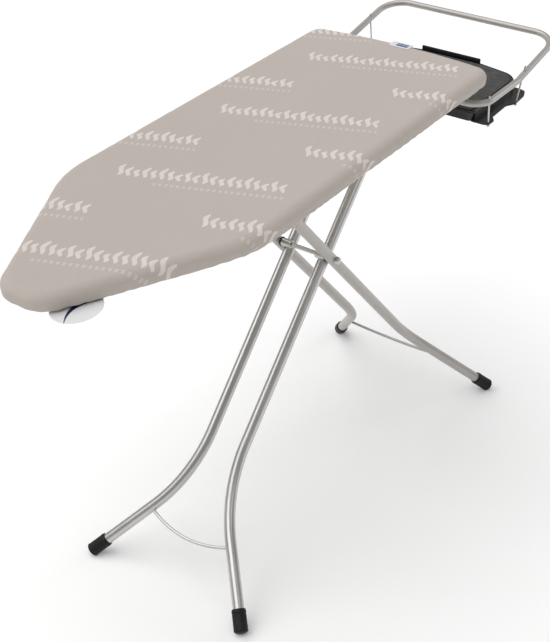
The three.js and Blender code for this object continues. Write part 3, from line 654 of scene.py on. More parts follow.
profile = cover_profile()
start = 2                                   # the first row of the roll over the edge
run = np.concatenate([[0], np.cumsum(np.hypot(*np.diff(profile[start:], axis=0).T))])
laid_flat = np.concatenate([profile[:start, 0], EDGE_IN - run])
print("cloth past the edge:", round(run[-1], 1), "mm, in", len(profile), "rows")

# %% [markdown]
# ## Letting the cloth settle
#
# Cloth pulled round a board by a gathered hem is never quite smooth: the spare width of each
# curve goes into soft puckers that run up from the hem. Two things make them here. Most of the
# pucker that shows is drawn: a sum of sines with whole numbers of waves, from a seeded random
# source, grows towards the hem. Sines alone look even, so a short cloth simulation adds a part of
# its own uneven movement. Only the skirt and hem are simulated: the top is pinned where it lies
# on the pad, and the hem where its casing holds it. The cloth is told to be three parts in a
# hundred too large, so it has to buckle between the two. The movement is read back as an array
# and smoothed. Taken whole it makes the edge lumpy, so each row keeps only a share of it, small
# at the edge where cloth under tension lies smooth and large under the board, and it is capped.

# %% Simulate the skirt
random = np.random.default_rng(7)


def ripple(count, low, high, terms=9):
    """A wavy line round the board from -1 to 1: a sum of sines of whole numbers of waves."""
    turn = np.linspace(0, 2 * np.pi, count, endpoint=False)
    waves = random.integers(low, high, terms)[:, None]
    wave = np.sin(waves * turn + random.uniform(0, 2 * np.pi, (terms, 1))).sum(0)
    return wave / np.abs(wave).max()


FIRST_FREE, HELD_HEM = 6, 8                 # rows pinned at the top and at the hem
GATHER_FROM, GATHER_ROWS = 21, 9            # the row where the gathers begin, and rows to full size
GATHER_WAVE, GATHER_LIFT = 1.5, 1.1         # mm, in and out, and upwards
first, last = FIRST_FREE, len(profile) - HELD_HEM
gather = np.clip((np.arange(len(profile)) - GATHER_FROM) / GATHER_ROWS, 0, 1)[:, None]
puckers = ripple(len(edge), 95, 165)
wave = GATHER_WAVE * gather * ripple(len(edge), 60, 120)
skirt = rows_round(profile[:, 0], profile[:, 1], 0.0, wave)
skirt[..., 2] += GATHER_LIFT * gather * (1 + puckers)


def settle(rows, first, last, grow=0.03, frames=22):
    """Movement (row, place, xyz) in mm of a pinned skirt of cloth that is a little too large."""
    points = rows + random.normal(0, 0.12, rows.shape)
    mesh = bpy.data.meshes.new("skirt_trial")
    mesh.from_pydata((points.reshape(-1, 3) / 100).tolist(), [],
                     grid(len(rows), rows.shape[1], wrap_columns=True).tolist())
    trial = bpy.data.objects.new("skirt_trial", mesh)
    bpy.context.scene.collection.objects.link(trial)
    held = trial.vertex_groups.new(name="held")
    free = np.zeros(rows.shape[:2], bool)
    free[first:last] = True
    held.add(np.flatnonzero(~free.ravel()).tolist(), 1.0, "REPLACE")
    cloth = trial.modifiers.new("cloth", "CLOTH")
    cloth.settings.vertex_group_mass = "held"
    cloth.settings.quality = 4
    cloth.settings.mass = 0.2
    cloth.settings.tension_stiffness = cloth.settings.compression_stiffness = 20
    cloth.settings.shear_stiffness = 8
    cloth.settings.bending_stiffness = 1.5
    cloth.settings.air_damping = 3
    cloth.settings.shrink_min = cloth.settings.shrink_max = -grow
    cloth.settings.effector_weights.gravity = 0
    cloth.collision_settings.use_collision = False
    cloth.point_cache.frame_start, cloth.point_cache.frame_end = 1, frames
    for frame_number in range(1, frames + 1):
        bpy.context.scene.frame_set(frame_number)
    settled = trial.evaluated_get(bpy.context.evaluated_depsgraph_get()).data
    found = np.empty(len(settled.vertices) * 3, np.float32)
    settled.vertices.foreach_get("co", found)
    bpy.context.scene.frame_set(1)
    bpy.data.objects.remove(trial)
    return found.reshape(rows.shape) * 100 - rows


def soften(field, passes):
    """Averages each point of a field with its neighbours round the board and across the rows."""
    for _ in range(passes):
        beside = (np.roll(field, 1, 1) + np.roll(field, -1, 1)) / 2
        above = np.concatenate([field[:1], field[:-1]])
        below = np.concatenate([field[1:], field[-1:]])
        field = 0.4 * field + 0.35 * beside + 0.125 * (above + below)
    return field


EASED_ROWS = [6, 16, 24, 30]                # from the edge of the top down to the hem
KEPT_SHARE = [0.1, 0.2, 0.45, 0.9]          # how much of its movement each of these rows keeps
MOST_MOVED = [0.3, 0.55, 1.2, 3.0]          # mm
move = np.zeros_like(skirt)
move = soften(settle(skirt, first, last), 3)
rows_down = np.arange(len(skirt))[:, None, None]
move *= np.interp(rows_down, EASED_ROWS, KEPT_SHARE)
size = np.linalg.norm(move, axis=-1, keepdims=True)
cap = np.interp(rows_down, EASED_ROWS, MOST_MOVED)
move = move * np.minimum(1, cap / np.maximum(size, 1e-6))
move[..., 2] = np.maximum(move[..., 2], BASE - skirt[..., 2])
print("the cloth moved up to", np.linalg.norm(move, axis=-1).max().round(2), "mm,",
      np.linalg.norm(move, axis=-1).mean().round(2), "mm on average")

# %% [markdown]
# ## The cover
#
# The settled rows are the outside of the cloth. Its inside is the same rows moved in by the
# cloth's thickness along the surface's own normals, which come from the cross product of the
# steps along and across the rows. Outside and inside joined at the hem make one closed shell.

# %% Make the cover
CLOTH_THICK = 1.2
TOP_INSET = 30.0                            # the flat rows lie this far inside the outline


def grid_normals(rows):
    """Unit normals of a surface of rows closed round the board, pointing out and up."""
    along = np.roll(rows, -1, 1) - np.roll(rows, 1, 1)
    across = np.gradient(rows, axis=0)
    normal = np.cross(across, along)
    normal /= np.maximum(np.linalg.norm(normal, axis=-1, keepdims=True), 1e-9)
    return normal


inner_top = np.concatenate([[1.0], np.linspace(0.97, 0.0, 10)])
top_rows = rows_round(np.full(len(inner_top), TOP_INSET), np.full(len(inner_top), TOP), inner_top)
outside = np.concatenate([top_rows[:-1], skirt + move])
facing = grid_normals(outside)
facing = np.where(facing[5:6, :, 2:] < 0, -facing, facing)
FLAT_ROWS = len(inner_top) + 1              # the top's own rows and the first two of the profile
facing[:FLAT_ROWS] = (0, 0, 1)
inside = outside - CLOTH_THICK * facing
flat_inset = np.concatenate([np.full(len(inner_top) - 1, TOP_INSET), laid_flat])
flat_share = np.concatenate([inner_top[:-1], np.zeros(len(profile))])
cloth_rows = rows_round(flat_inset, 0.0, flat_share)[..., :2]
shell = np.concatenate([outside, inside[::-1]])
cloth_map = np.concatenate([cloth_rows, cloth_rows[::-1]]).reshape(-1, 2) / 1000 + (NOSE_X, 0)
cover = make_piece("cover", closed_layer(shell), cover_cloth, "board",
                   ("cover",), crease=60, cloth_map=cloth_map)

# %% [markdown]
# ## The hem's binding
#
# The cover's raw edge is bound with a narrow strip folded over it, the casing of the gathering
# cord. It follows the hem round the board as a thin rounded band, gathered in the same places
# as the cloth, so its rows take their wave from the same arrays.

# %% Make the hem binding
turn = np.linspace(0, 2 * np.pi, 15)[:-1]
casing = np.stack([HEM_INSET - 1.0 + 4.2 * np.cos(turn), BASE + 2.3 + 1.6 * np.sin(turn)], -1)
rows = rows_round(casing[:, 0], casing[:, 1], 0.0, 1.5 * ripple(len(edge), 90, 150))
rows[..., 2] += 0.45 * (1 + ripple(len(edge), 150, 260))
binding = make_piece("hem_binding", closed((at(*rows.reshape(-1, 3).T),
                     grid(len(casing), len(edge), True, True))), cover_cloth, "board",
                     crease=80,
                     cloth_map=rows[..., :2].reshape(-1, 2) / 1000 + (NOSE_X, 0))
print("binding", len(binding.data.polygons), "faces")

# %% [markdown]
# ## The pad and the expanded steel
#
# Under the cloth lies a thin felt-like foam pad, and under that the board's top: steel sheet cut
# with rows of slits and pulled until they open into diamonds. The strands between the diamonds
# are zigzags. Row after row of them, each the mirror of the last, touch at the corners of the
# diamonds. Each zigzag is a strip with a height that is a triangle wave along the board,
# clipped to the outline, and a solid band round the edge holds them all.

# %% Make the pad
foam_finish = solid_finish("pad_foam", (214, 210, 196), (196, 191, 176), 0.0, 0.95, 0.04, 420,
                           depth=0.0003, dust=0.0)
pad_rows = rows_round([30, 30, 30, 24, 18, 14, 11.5, 10.5, 11.5, 14, 14],
                      [950, 950, 950, 949.2, 947.4, 945.6, 944.2, 943.4, 942.7, 942.6, 942.6],
                      [1, 0.04, 0, 0, 0, 0, 0, 0, 0, 0, 1])
pad = make_piece("foam_pad_sheet", closed_layer(pad_rows), foam_finish, "board",
                 ("foam_pad",))


# %% Make the expanded steel top
def strands(pitch=14.0, period=30.0, width=1.7, low=941.4, high=942.3, inset=14.0):
    """Zigzag strips: y = row + pitch/2 * triangle(x / period), from side to side of the top."""
    parts = []
    count = int(WIDTH / pitch) + 1
    steps = np.arange(0, LENGTH, period / 2)
    for k in range(-count // 2, count // 2 + 1):
        zig = (k + 0.5 * ((np.arange(len(steps)) + k) % 2 * 2 - 1) * 0.86) * pitch
        inner = edge - inset * edge_normal
        upper = inner[inner[:, 1] >= 0]
        upper = upper[np.argsort(upper[:, 0])]
        room = np.interp(steps, upper[:, 0], upper[:, 1], left=0, right=0)
        kept = np.flatnonzero(np.abs(zig) < room)
        if len(kept) < 3:
            continue
        x, y = steps[kept], zig[kept]
        around = [(-width, high), (width, high), (width, low), (-width, low)]
        rows = np.stack([np.stack([x, y + w, np.full(len(x), z)], -1) for w, z in around], 1)
        body = (at(*rows.reshape(-1, 3).T), grid(len(x), 4, wrap_columns=True))
        ends = np.array([[0, 1, 2, 3], [3, 2, 1, 0]]) + [[0], [4 * (len(x) - 1)]]
        parts.append(closed((body[0], np.concatenate([body[1], ends]))))
    return parts


band = rows_round([9.5, 9.5, 17, 17], [941.4, 942.3, 942.3, 941.4])
band = closed((at(*band.reshape(-1, 3).T), grid(4, len(edge), True, True)))
mesh_top = make_piece("expanded_top", joined(band, *strands()), zinc, "board",
                      ("mesh_top",), crease=30)
print("expanded top", len(mesh_top.data.polygons), "faces")

# %% [markdown]
# ## Bent tubes and turned parts
#
# Nearly everything under the top is a section carried along a line. The line is made of
# straights joined by arcs that touch them smoothly. At each station the section lies square to
# the line, and one fixed reference direction keeps it from twisting. Every row of the surface
# names a station, how far it slides past it, and its radius, so a rod with chamfered ends, a
# hollow tube and a rolled lip are the same function with other rows.

# %% Lines with rounded corners, and sections carried along them


def unit(vector):
    return vector / np.linalg.norm(vector, axis=-1, keepdims=True)


def rounded(corners, radii, steps=12, loop=False):
    """The corners joined by straights, each turned by an arc of its radius between tangents."""
    corners = np.asarray(corners, float)
    line = []
    for k, (p, radius) in enumerate(zip(corners, radii)):
        if radius == 0 or (not loop and k in (0, len(corners) - 1)):
            line.append(p[None])
            continue
        back, on = unit(corners[k - 1] - p), unit(corners[(k + 1) % len(corners)] - p)
        half = np.arccos(np.clip(back @ on, -1, 1)) / 2
        centre = p + unit(back + on) * radius / np.sin(half)
        first, last = (p + way * radius / np.tan(half) - centre for way in (back, on))
        swing, share = np.pi - 2 * half, np.linspace(0, 1, steps + 1)[:, None]
        line.append(centre + (np.sin((1 - share) * swing) * first
                              + np.sin(share * swing) * last) / np.sin(swing))
    return np.concatenate(line)


def carry(line, rows, reference, sides=40, loop=False):
    """Circles square to a line: rows of (station, slid along the line, radius), as points."""
    line, rows = np.asarray(line, float), np.asarray(rows, float)
    ahead = unit(np.roll(line, -1, 0) - line)
    if not loop:
        ahead[-1] = ahead[-2]
    behind = np.roll(ahead, 1, 0)
    if not loop:
        behind[0] = ahead[0]
    tangent = unit(ahead + behind)
    side = unit(np.cross(tangent, reference))
    over = np.cross(side, tangent)
    station = rows[:, 0].astype(int)
    turn = np.linspace(0, 2 * np.pi, sides, endpoint=False)[:, None]
    circle = np.cos(turn) * side[station][:, None] + np.sin(turn) * over[station][:, None]
    points = (line[station] + rows[:, 1:2] * tangent[station])[:, None] + rows[:, 2:3, None] * circle
    return at(*points.reshape(-1, 3).T)


def rod(line, radius, reference, sides=24, chamfer=0.6):
    """A solid rod: a full circle at every station, smaller ones at its two chamfered ends."""
    last = len(line) - 1
    rows = ([(0, 0, 0), (0, 0, radius - chamfer), (0, chamfer, radius)]
            + [(k, 0, radius) for k in range(1, last)]
            + [(last, -chamfer, radius), (last, 0, radius - chamfer), (last, 0, 0)])
    return closed((carry(line, rows, reference, sides), grid(len(rows), sides, False, True)))


def tube(line, radius, wall, reference, sides=48, loop=False):
    """A hollow tube: circles out along the line, then back inside it, closed on themselves."""
    last, lip = len(line) - 1, 0.35
    inner = radius - wall
    if loop:
        outer = closed((carry(line, [(k, 0, radius) for k in range(last + 1)], reference, sides,
                              True), grid(last + 1, sides, True, True)))
        return outer
    rows = ([(0, 0, radius - lip), (0, lip, radius)] + [(k, 0, radius) for k in range(1, last)]
            + [(last, -lip, radius), (last, 0, radius - lip), (last, 0, inner + lip),
               (last, -lip, inner)] + [(k, 0, inner) for k in range(last - 1, 0, -1)]
            + [(0, lip, inner), (0, 0, inner + lip)])
    return closed((carry(line, rows, reference, sides), grid(len(rows), sides, True, True)))


def turned(profile, foot, axis, sides=48, ring=False, ribs=0, rib=0.0):
    """A profile of (radius, along) turned about an axis from a foot. Ribs are a small wave."""
    profile, axis = np.asarray(profile, float), unit(np.asarray(axis, float))
    side = unit(np.cross(axis, (0.31, 0.22, 0.93) if abs(axis[2]) < 0.9 else (0, 1, 0)))
    over = np.cross(axis, side)
    turn = np.linspace(0, 2 * np.pi, sides, endpoint=False)
    circle = np.cos(turn)[:, None] * side + np.sin(turn)[:, None] * over
    radius = profile[:, :1] + (rib * (profile[:, 2:3] if profile.shape[1] > 2 else 0)
                               * np.cos(ribs * turn) if ribs else 0)
    radius = np.broadcast_to(radius, (len(profile), sides))
    points = np.asarray(foot, float) + profile[:, 1, None, None] * axis + radius[..., None] * circle
    return closed((at(*points.reshape(-1, 3).T), grid(len(profile), sides, ring, True)))


def stretched(line, spacing=25.0):
    """A line with extra stations along its long straights."""
    out = [line[:1]]
    for a, b in zip(line[:-1], line[1:]):
        count = max(1, int(np.linalg.norm(b - a) / spacing))
        out.append(a + (b - a) * np.linspace(0, 1, count + 1)[1:, None])
    return np.concatenate(out)


print("a right angle of radius 10 has", len(rounded([(0, 0), (50, 0), (50, 50)], [0, 10, 0])), "stations")

# %% [markdown]
# ## The steel edge
#
# The rim is one tube bent to the outline and welded shut, set in from the pad's edge. It sits
# wholly under the cover, and only its underside shows from below.

# %% Make the rim
rim_line = np.column_stack([edge - 13 * edge_normal, np.full(len(edge), 934.1)])[::3]
rim = make_piece("rim", tube(rim_line, 7.0, 1.0, (0, 0, 1), 24, loop=True), zinc, "board",
                 ("rim_tube",))
print("rim", len(rim.data.polygons), "faces")

# %% [markdown]
# ## The legs
#
# Each pair of legs is two tubes in one leaning plane. They run side by side under the top, then
# splay at a bend and reach the floor wide apart. A place on a pair is given by how far up its
# slope it is and how far out to the side. The front pair is satin chrome, the rear pair is
# painted silver.

# %% Make the legs
AXLE, HINGE, BAR = (836.75, 607.6), (1141.05, 900.0), (594.65, 893.0)
FRONT = {"foot": 281.0, "lean": 46.3, "towards": 1, "top": 45.6, "wide": 221.0, "bend": 262.0,
         "radius": 370.0, "tube": 12.5, "reach": 900.0, "past": 16.0, "brace": 134.0, "rise": 27.0}
REAR = {"foot": 1352.0, "lean": 49.7, "towards": -1, "top": 73.0, "wide": 238.3, "bend": 291.0,
        "radius": 241.0, "tube": 12.0, "reach": 893.0, "past": 14.0, "brace": 148.0, "rise": 23.0}
SIDES = (("near", -1), ("far", 1))


def on_leg(pair, slope, out):
    """The place a given way up a pair's slope and out from the centre line."""
    lean = np.radians(pair["lean"])
    return np.array([pair["foot"] + pair["towards"] * slope * np.cos(lean), out, slope * np.sin(lean)])


def up_foot(pair, side):
    return unit(on_leg(pair, pair["bend"], side * pair["top"]) - on_leg(pair, 0, side * pair["wide"]))


def across_slope(pair):
    """The direction square to a pair's leaning plane."""
    lean = np.radians(pair["lean"])
    return np.array([-pair["towards"] * np.sin(lean), 0, np.cos(lean)])


def leg_line(pair, side):
    up = up_foot(pair, side)
    start = on_leg(pair, 0, side * pair["wide"]) + up * (7 / up[2] + 9.5)
    top = pair["reach"] / np.sin(np.radians(pair["lean"])) + pair["past"]
    return rounded([start, on_leg(pair, pair["bend"], side * pair["top"]),
                    on_leg(pair, top, side * pair["top"])], [0, pair["radius"], 0], 24)


for word, pair, finish, body, slot in (("front", FRONT, satin_chrome, "front_legs", "satin_chrome"),
                                       ("rear", REAR, silver_paint, "rear_legs", "silver_paint")):
    for name, side in SIDES:
        line = stretched(leg_line(pair, side), 60)
        make_piece(f"{word}_tube_{name}", tube(line, pair["tube"], 1.2, across_slope(pair)), finish,
                   body, (f"{word}_leg_{name}",))
    splay = (pair["wide"] - pair["top"]) / pair["bend"]
    end = pair["top"] + splay * (pair["bend"] - pair["brace"] - pair["rise"])
    share = np.linspace(-0.985, 0.985, 33)
    bow = np.array([on_leg(pair, pair["brace"] + pair["rise"] * s ** 2, end * s) for s in share])
    make_piece(f"{word}_brace_wire", rod(bow, 3.5, across_slope(pair), 20), finish, body,
               (f"{word}_wire_brace",))
lengths = [np.linalg.norm(np.diff(leg_line(p, 1), axis=0), axis=1).sum() for p in (FRONT, REAR)]
print("legs", [round(float(length)) for length in lengths], "mm long")

# %% [markdown]
# ## Rubber feet
#
# Each leg ends in a moulded rubber cap: a rounded closed end, a body with faint ribs for grip,
# a raised bead at its mouth, and a bore for the tube. The cap is square to the leg but the
# floor isn't, so the very edge that would pass the floor is worn flat on it.

# %% Make the feet
CAP_TOP, BORE_FLOOR = 52, 9                 # mm from the closed end
END_HEIGHT = 7                              # mm from the floor to the middle of the closed end


def cap_profile(bore):
    """Radius, distance up and how much rib, from the closed end, over the lip, into the bore."""
    dome = [(0, 0.0, 0)] + [(16.2 * np.sin(t), 7 - 7 * np.cos(t), 0) for t in np.linspace(0.3, 1.45, 9)]
    wall = [(15.4, 9, 0), (15.2, 10.5, 1), (15.2, 40.5, 1), (15.1, 42, 0)]
    bead = [(15.5 + 0.5 * np.sin(t), 45.5 - 2.2 * np.cos(t), 0) for t in np.linspace(0.2, 2.9, 8)]
    lip = [(15.2, 49, 0), (15.2, 50.4, 0), (14.8, 51.4, 0), (14.0, CAP_TOP, 0), (bore + 0.5, CAP_TOP, 0),
           (bore, 51.4, 0), (bore, BORE_FLOOR, 0), (0, BORE_FLOOR, 0)]
    return dome + wall + bead + lip


for word, pair, body in (("front", FRONT, "front_legs"), ("rear", REAR, "rear_legs")):
    for name, side in SIDES:
        up = up_foot(pair, side)
        foot = on_leg(pair, 0, side * pair["wide"]) + up * END_HEIGHT / up[2]
        points, quads = turned(cap_profile(pair["tube"] + 0.3), foot, up, 120, ribs=30, rib=0.25)
        points[:, 2] = np.maximum(points[:, 2], 0)
        make_piece(f"{word}_foot_{name}", (points, quads), foot_rubber, body,
                   (f"{word}_cap_{name}",), crease=50)
foot_low = min(corner.co.z for corner in made["front_foot_near"].data.vertices) * 1000
print("lowest point of the near front foot:", round(foot_low, 2), "mm")

# %% [markdown]
# ## Axle, hinge and sliding bar
#
# The pairs cross on one axle rod with black washers between them, short sleeves over the front
# tubes and domed nuts outside. The front legs hang from a hinge rod under the top, and the rear
# legs carry a bar that slides in the rack and sets the height. All of them are turned parts.

# %% Make the axle and bars


def across(place, radius, reach, chamfer=0.8):
    ends = [(place[0], -reach, place[1]), (place[0], reach, place[1])]
    return rod(np.linspace(*np.asarray(ends), 3), radius, (0, 0, 1), 32, chamfer)


def ring(place, start, end, inner, outer, chamfer=0.35, side=1):
    """A washer, clip or sleeve between two distances out from the centre line."""
    c = chamfer
    loop = [(inner, start), (outer - c, start), (outer, start + c), (outer, end - c),
            (outer - c, end), (inner, end)]
    return turned(loop, (place[0], 0, place[1]), (0, side, 0), 40, True)


make_piece("axle", across(AXLE, 5, 92), zinc, "front_legs", ("axle_rod",))
make_piece("hinge_pin", across(HINGE, 5, 71), zinc, "front_legs", ("hinge_rod",))
make_piece("height_bar", across(BAR, 6, 100), zinc, "rear_legs", ("sliding_bar",))
dome = [(5.4, 0), (8.1, 0), (8.5, 0.4), (8.5, 4.6)] + [
    (8.5 * np.cos(t), 5 + 5 * np.sin(t)) for t in np.linspace(0.1, np.pi / 2, 9)] + [(0, 7.6), (5.4, 7.6)]
for name, side in SIDES:
    make_piece(f"hinge_ring_{name}", ring(HINGE, 65, 67.4, 5.4, 9, side=side), zinc, "front_legs",
               (f"hinge_rod_clip_{name}",))
    make_piece(f"washer_{name}", ring(AXLE, 58.6, 60.6, 5.4, 11, side=side), grip_plastic,
               "front_legs", (f"axle_washer_{name}",))
    make_piece(f"sleeve_{name}", ring(AXLE, 33.1, 58.1, 5.3, 9.5, 0.6, side=side), zinc,
               "front_legs", (f"axle_sleeve_{name}",))
    make_piece(f"dome_nut_{name}", turned(dome, (AXLE[0], side * 85.3, AXLE[1]), (0, side, 0), 40,
                                          True), zinc, "front_legs", (f"axle_nut_{name}",))
    make_piece(f"bar_ring_{name}", ring(BAR, 93.3, 95.3, 6.4, 11, side=side), zinc, "rear_legs",
               (f"bar_clip_{name}",))
    for word, x, y in (("hinge_screw", 1150, 75), ("clamp_screw", 1193, 110)):
        head = [(0, 921.9), (1.2, 921.9), (1.6, 922.7), (2.6, 922.1), (3.9, 922.9), (4.4, 924.2),
                (4.4, 924.6), (2.2, 924.6), (2.2, 932.4), (1.6, 933), (0, 933)]
        make_piece(f"{word}_head_{name}", turned(head, (x, side * y, 0), (0, 0, 1), 24), zinc,
                   "board", (f"{word}_{name}",))
print("pieces so far:", len(made))

# %% [markdown]
# ## Guard tube and hanging rods
#
# Behind the square end one silver tube goes round the iron's tray. It leaves a clamp on one
# side, bends back along the tray, rises, crosses behind it, and comes back the same way. Thin
# rods hang from it and hold the tray's ears with nuts. The rod at the far back turns in under
# the tray instead.

# %% Make the guard and the rods
half = np.array([(1194, 112, 870), (1194, 230, 870), (1362, 230, 868), (1562, 230, 906)], float)
corners = np.concatenate([half * (1, -1, 1), half[::-1]])
line = stretched(rounded(corners, [0, 42, 60, 60, 60, 60, 42, 0], 18))
guard = make_piece("guard", tube(line, 7.5, 1.2, (0, 0, 1), 36), silver_paint, "board",
                   ("guard_tube",))

HANGERS = {"near_front": [(1226, -230, 884), (1229, -230, 808)],
           "near_rear": [(1397, -230, 893), (1359, -230, 808)],
           "far_front": [(1226, 230, 884), (1229, 230, 808)],
           "far_rear": [(1462, 230, 899), (1470, 230, 832), (1424, 216, 820.9), (1404, 210, 820.9)]}
nut_profile = [(2.5, 0), (3.6, 0), (4.2, 0.5), (4.2, 3.5), (3.6, 4), (2.5, 4)]
for name, corners in HANGERS.items():
    corners = np.array(corners, float)
    line = stretched(rounded(corners, [0, 7, 9, 0][:len(corners)], 10))
    make_piece(f"hanger_{name}", rod(line, 2, (0, 1, 0), 16, 0.4), zinc, "board",
               (f"hanger_rod_{name}",))
    if name != "far_rear":
        up = unit(corners[0] - corners[1])
        make_piece(f"nut_{name}", turned(nut_profile, corners[1] + up * 1.5 / up[2], up, 6, True),
                   zinc, "board", (f"hanger_nut_{name}",), crease=25)
guard_width = np.ptp([corner.co.y for corner in guard.data.vertices])
print("guard", round(float(guard_width), 3), "m wide; rods", len(HANGERS))

# %% [markdown]
# ## Moulded sheets
#
# The tray, its ears, its mat, the oval card and the label are all flat shapes with rounded
# outlines and soft edges. One function makes them: the outline is a rounded polygon with its
# normals, and each row is moved in from it at a height, as on the board. The rows end on a line
# inside the shape, from both faces, so the sheet is closed.

# %% Sheets with rounded outlines


def outline(corners, radii, count=240):
    """A rounded polygon read off at even distances, with its normals outwards."""
    line = rounded(np.asarray(corners, float), radii, 16, loop=True)
    line = np.concatenate([line, line[:1]])
    run = np.concatenate([[0], np.cumsum(np.hypot(*np.diff(line, axis=0).T))])
    near = np.linspace(0, run[-1], count, endpoint=False)
    points = np.stack([np.interp(near, run, column) for column in line.T], -1)
    step = np.roll(points, -1, 0) - np.roll(points, 1, 0)
    normals = unit(np.stack([step[:, 1], -step[:, 0]], -1))
    area = (points[:, 0] * np.roll(points[:, 1], -1) - points[:, 1] * np.roll(points[:, 0], -1)).sum()
    return points, normals * np.sign(area)


def sheet_layer(shape, rows, middle):
    """A closed sheet: rows of (inset, height, share towards a middle line along x)."""
    points, normals = shape
    rows = np.asarray(rows, float)
    (x0, y0), (x1, y1) = middle
    flat = points - rows[:, 0, None, None] * normals
    share = np.clip((flat[..., 0] - x0) / max(x1 - x0, 1e-6), 0, 1)
    inner = np.stack([x0 + share * (x1 - x0), y0 + share * (y1 - y0)], -1)
    flat = flat + rows[:, 2, None, None] * (inner - flat)
    high = np.broadcast_to(rows[:, 1, None, None], (*flat.shape[:2], 1))
    whole = np.concatenate([flat, high], -1)
    return closed((at(*whole.reshape(-1, 3).T), grid(len(rows), len(points), False, True)))


def plain_sheet(low, high, soft):
    """Rows of a flat sheet from its top's middle, over its softened edge, to its underside."""
    return [(soft, high, 1), (soft, high, 0.03), (soft, high, 0), (soft * 0.3, high - soft * 0.3, 0),
            (0, high - soft, 0), (0, low + soft, 0), (soft * 0.3, low + soft * 0.3, 0),
            (soft, low, 0), (soft, low, 0.03), (soft, low, 1)]


print("a soft sheet has", len(plain_sheet(0, 1, 0.3)), "rows")

# %% [markdown]
# ## The tray
#
# The iron stands on a black moulded tray. It is a shell open below, with a raised lip at its
# back, and ears at its sides that the hanging rods come through. A plain grey rubber mat with
# softened edges lies on it.

# %% Make the tray and its mat
side_half = [(1217, -196), (1447.8, -196), (1470, -79.5)]
deck = outline(side_half + [(x, -y) for x, y in side_half[::-1]], [14, 55, 40, 40, 55, 14], 300)
Z0, Z1, WALL = 815.0, 838.0, 3.0
deck_rows = ([(4, Z1, 1), (4, Z1, 0.02), (4, Z1, 0)]
             + [(3 - 3 * np.sin(t), Z1 - 3 + 3 * np.cos(t), 0) for t in np.linspace(0, np.pi / 2, 6)]
             + [(0, Z0 + 0.6, 0), (0.6, Z0, 0), (WALL - 0.6, Z0, 0), (WALL, Z0 + 0.6, 0),
                (WALL, Z1 - WALL - 1, 0), (WALL + 1, Z1 - WALL, 0), (WALL + 1, Z1 - WALL, 0.02),
                (WALL + 1, Z1 - WALL, 1)])
parts = [sheet_layer(deck, deck_rows, ((1300, 0), (1380, 0)))]
for _, side in SIDES:
    ear = outline(np.array([(1217, -192), (1217, -235), (1246, -236), (1262, -224), (1330, -222),
                            (1352, -235), (1400, -232), (1425, -222), (1431, -192)])
                  * (1, -side), [2, 14, 12, 8, 15, 14, 16, 14, 2], 200)
    parts.append(sheet_layer(ear, plain_sheet(Z0, Z0 + 3.5, 0.9), ((1232, side * 212), (1412, side * 210))))
lip = outline([(1464, -80), (1470, -80), (1470, 80), (1464, 80)], [2.4] * 4, 120)
parts.append(sheet_layer(lip, [(2.2, 849, 1), (2.2, 849, 0), (0.8, 848.6, 0), (0, 847, 0),
                               (0, 833, 0), (2.2, 833, 0), (2.2, 833, 1)], ((1467, 0), (1467.01, 0))))
tray = make_piece("moulded_tray", joined(*parts), tray_plastic, "board", ("tray",))

mat_half = [(1223, -188), (1440, -188), (1458, -82)]
mat_shape = outline(mat_half + [(x, -y) for x, y in mat_half[::-1]], [10, 50, 10, 10, 50, 10], 300)
mat = make_piece("rubber_mat", sheet_layer(mat_shape, plain_sheet(838.3, 840.3, 0.7),
                                           ((1300, 0), (1380, 0))), mat_rubber, "board",
                 ("tray_mat",))
print("tray", len(tray.data.polygons), "faces, mat", len(mat.data.polygons))

# %% [markdown]
# ## The height lever
#
# A rod under the rack turns a toothed comb that holds the sliding bar, and its bent end comes
# out under the board's edge with a black grip. The grip is a moulded sleeve with finger rings
# and a rounded end. A small torsion spring closes the comb: a wire carried along a helix.

# %% Make the lever
LEVER_Y, LEVER_Z = 28, 873
GRIP_X = 296
SPRING_X, SPRING_PITCH, SPRING_RADIUS = 614, 2.2, 6.2
wind = np.linspace(0, 8 * np.pi, 97)       # four turns of the spring, eight rings on the grip
bends = [(640, LEVER_Y, LEVER_Z), (GRIP_X, LEVER_Y, LEVER_Z), (GRIP_X, 184, 877)]
line = stretched(rounded(bends, [0, 14, 0], 14))
make_piece("lever_bar", rod(line, 4, (0, 0, 1), 24), zinc, "height_lever", ("lever_rod",))
grip_axis = np.array([0, 66, 2.0])
rings = [(9 - 0.7 * np.sin(t) ** 2, 8 + 52 * t / (8 * np.pi)) for t in wind]
tip = [(9 * np.cos(t), 62.5 + 8 * np.sin(t)) for t in np.linspace(0.1, np.pi / 2, 9)]
grip_loop = [(4.5, 0), (7.6, 0), (8.7, 0.8), (9, 2.4), (9, 6)] + rings + tip + [(0, 67.2), (4.5, 67.2)]
make_piece("grip", turned(grip_loop, (GRIP_X, 118, 875), grip_axis, 40, True), grip_plastic,
           "height_lever", ("lever_grip",))
helix = np.stack([SPRING_X + SPRING_PITCH * wind / (2 * np.pi), LEVER_Y + SPRING_RADIUS * np.cos(wind),
                  LEVER_Z + SPRING_RADIUS * np.sin(wind)], -1)
make_piece("closing_spring", rod(helix, 0.8, (1, 0, 0), 8, 0.2), zinc, "board",
           ("lever_spring",))
print("grip", len(grip_loop), "rows")

# %% [markdown]
# ## Pressed sheet parts
#
# The rack rails, brackets, clamps, comb and cross braces are cut and folded steel sheet. Their
# shapes in the solid model are right but their edges are mathematically sharp, and no real edge
# is: without a highlight along its edges, sheet metal looks like paper. Each one is copied,
# merged, and given a narrow bevel, with shading weighted towards its large faces.

# %% Bevel the sheet parts


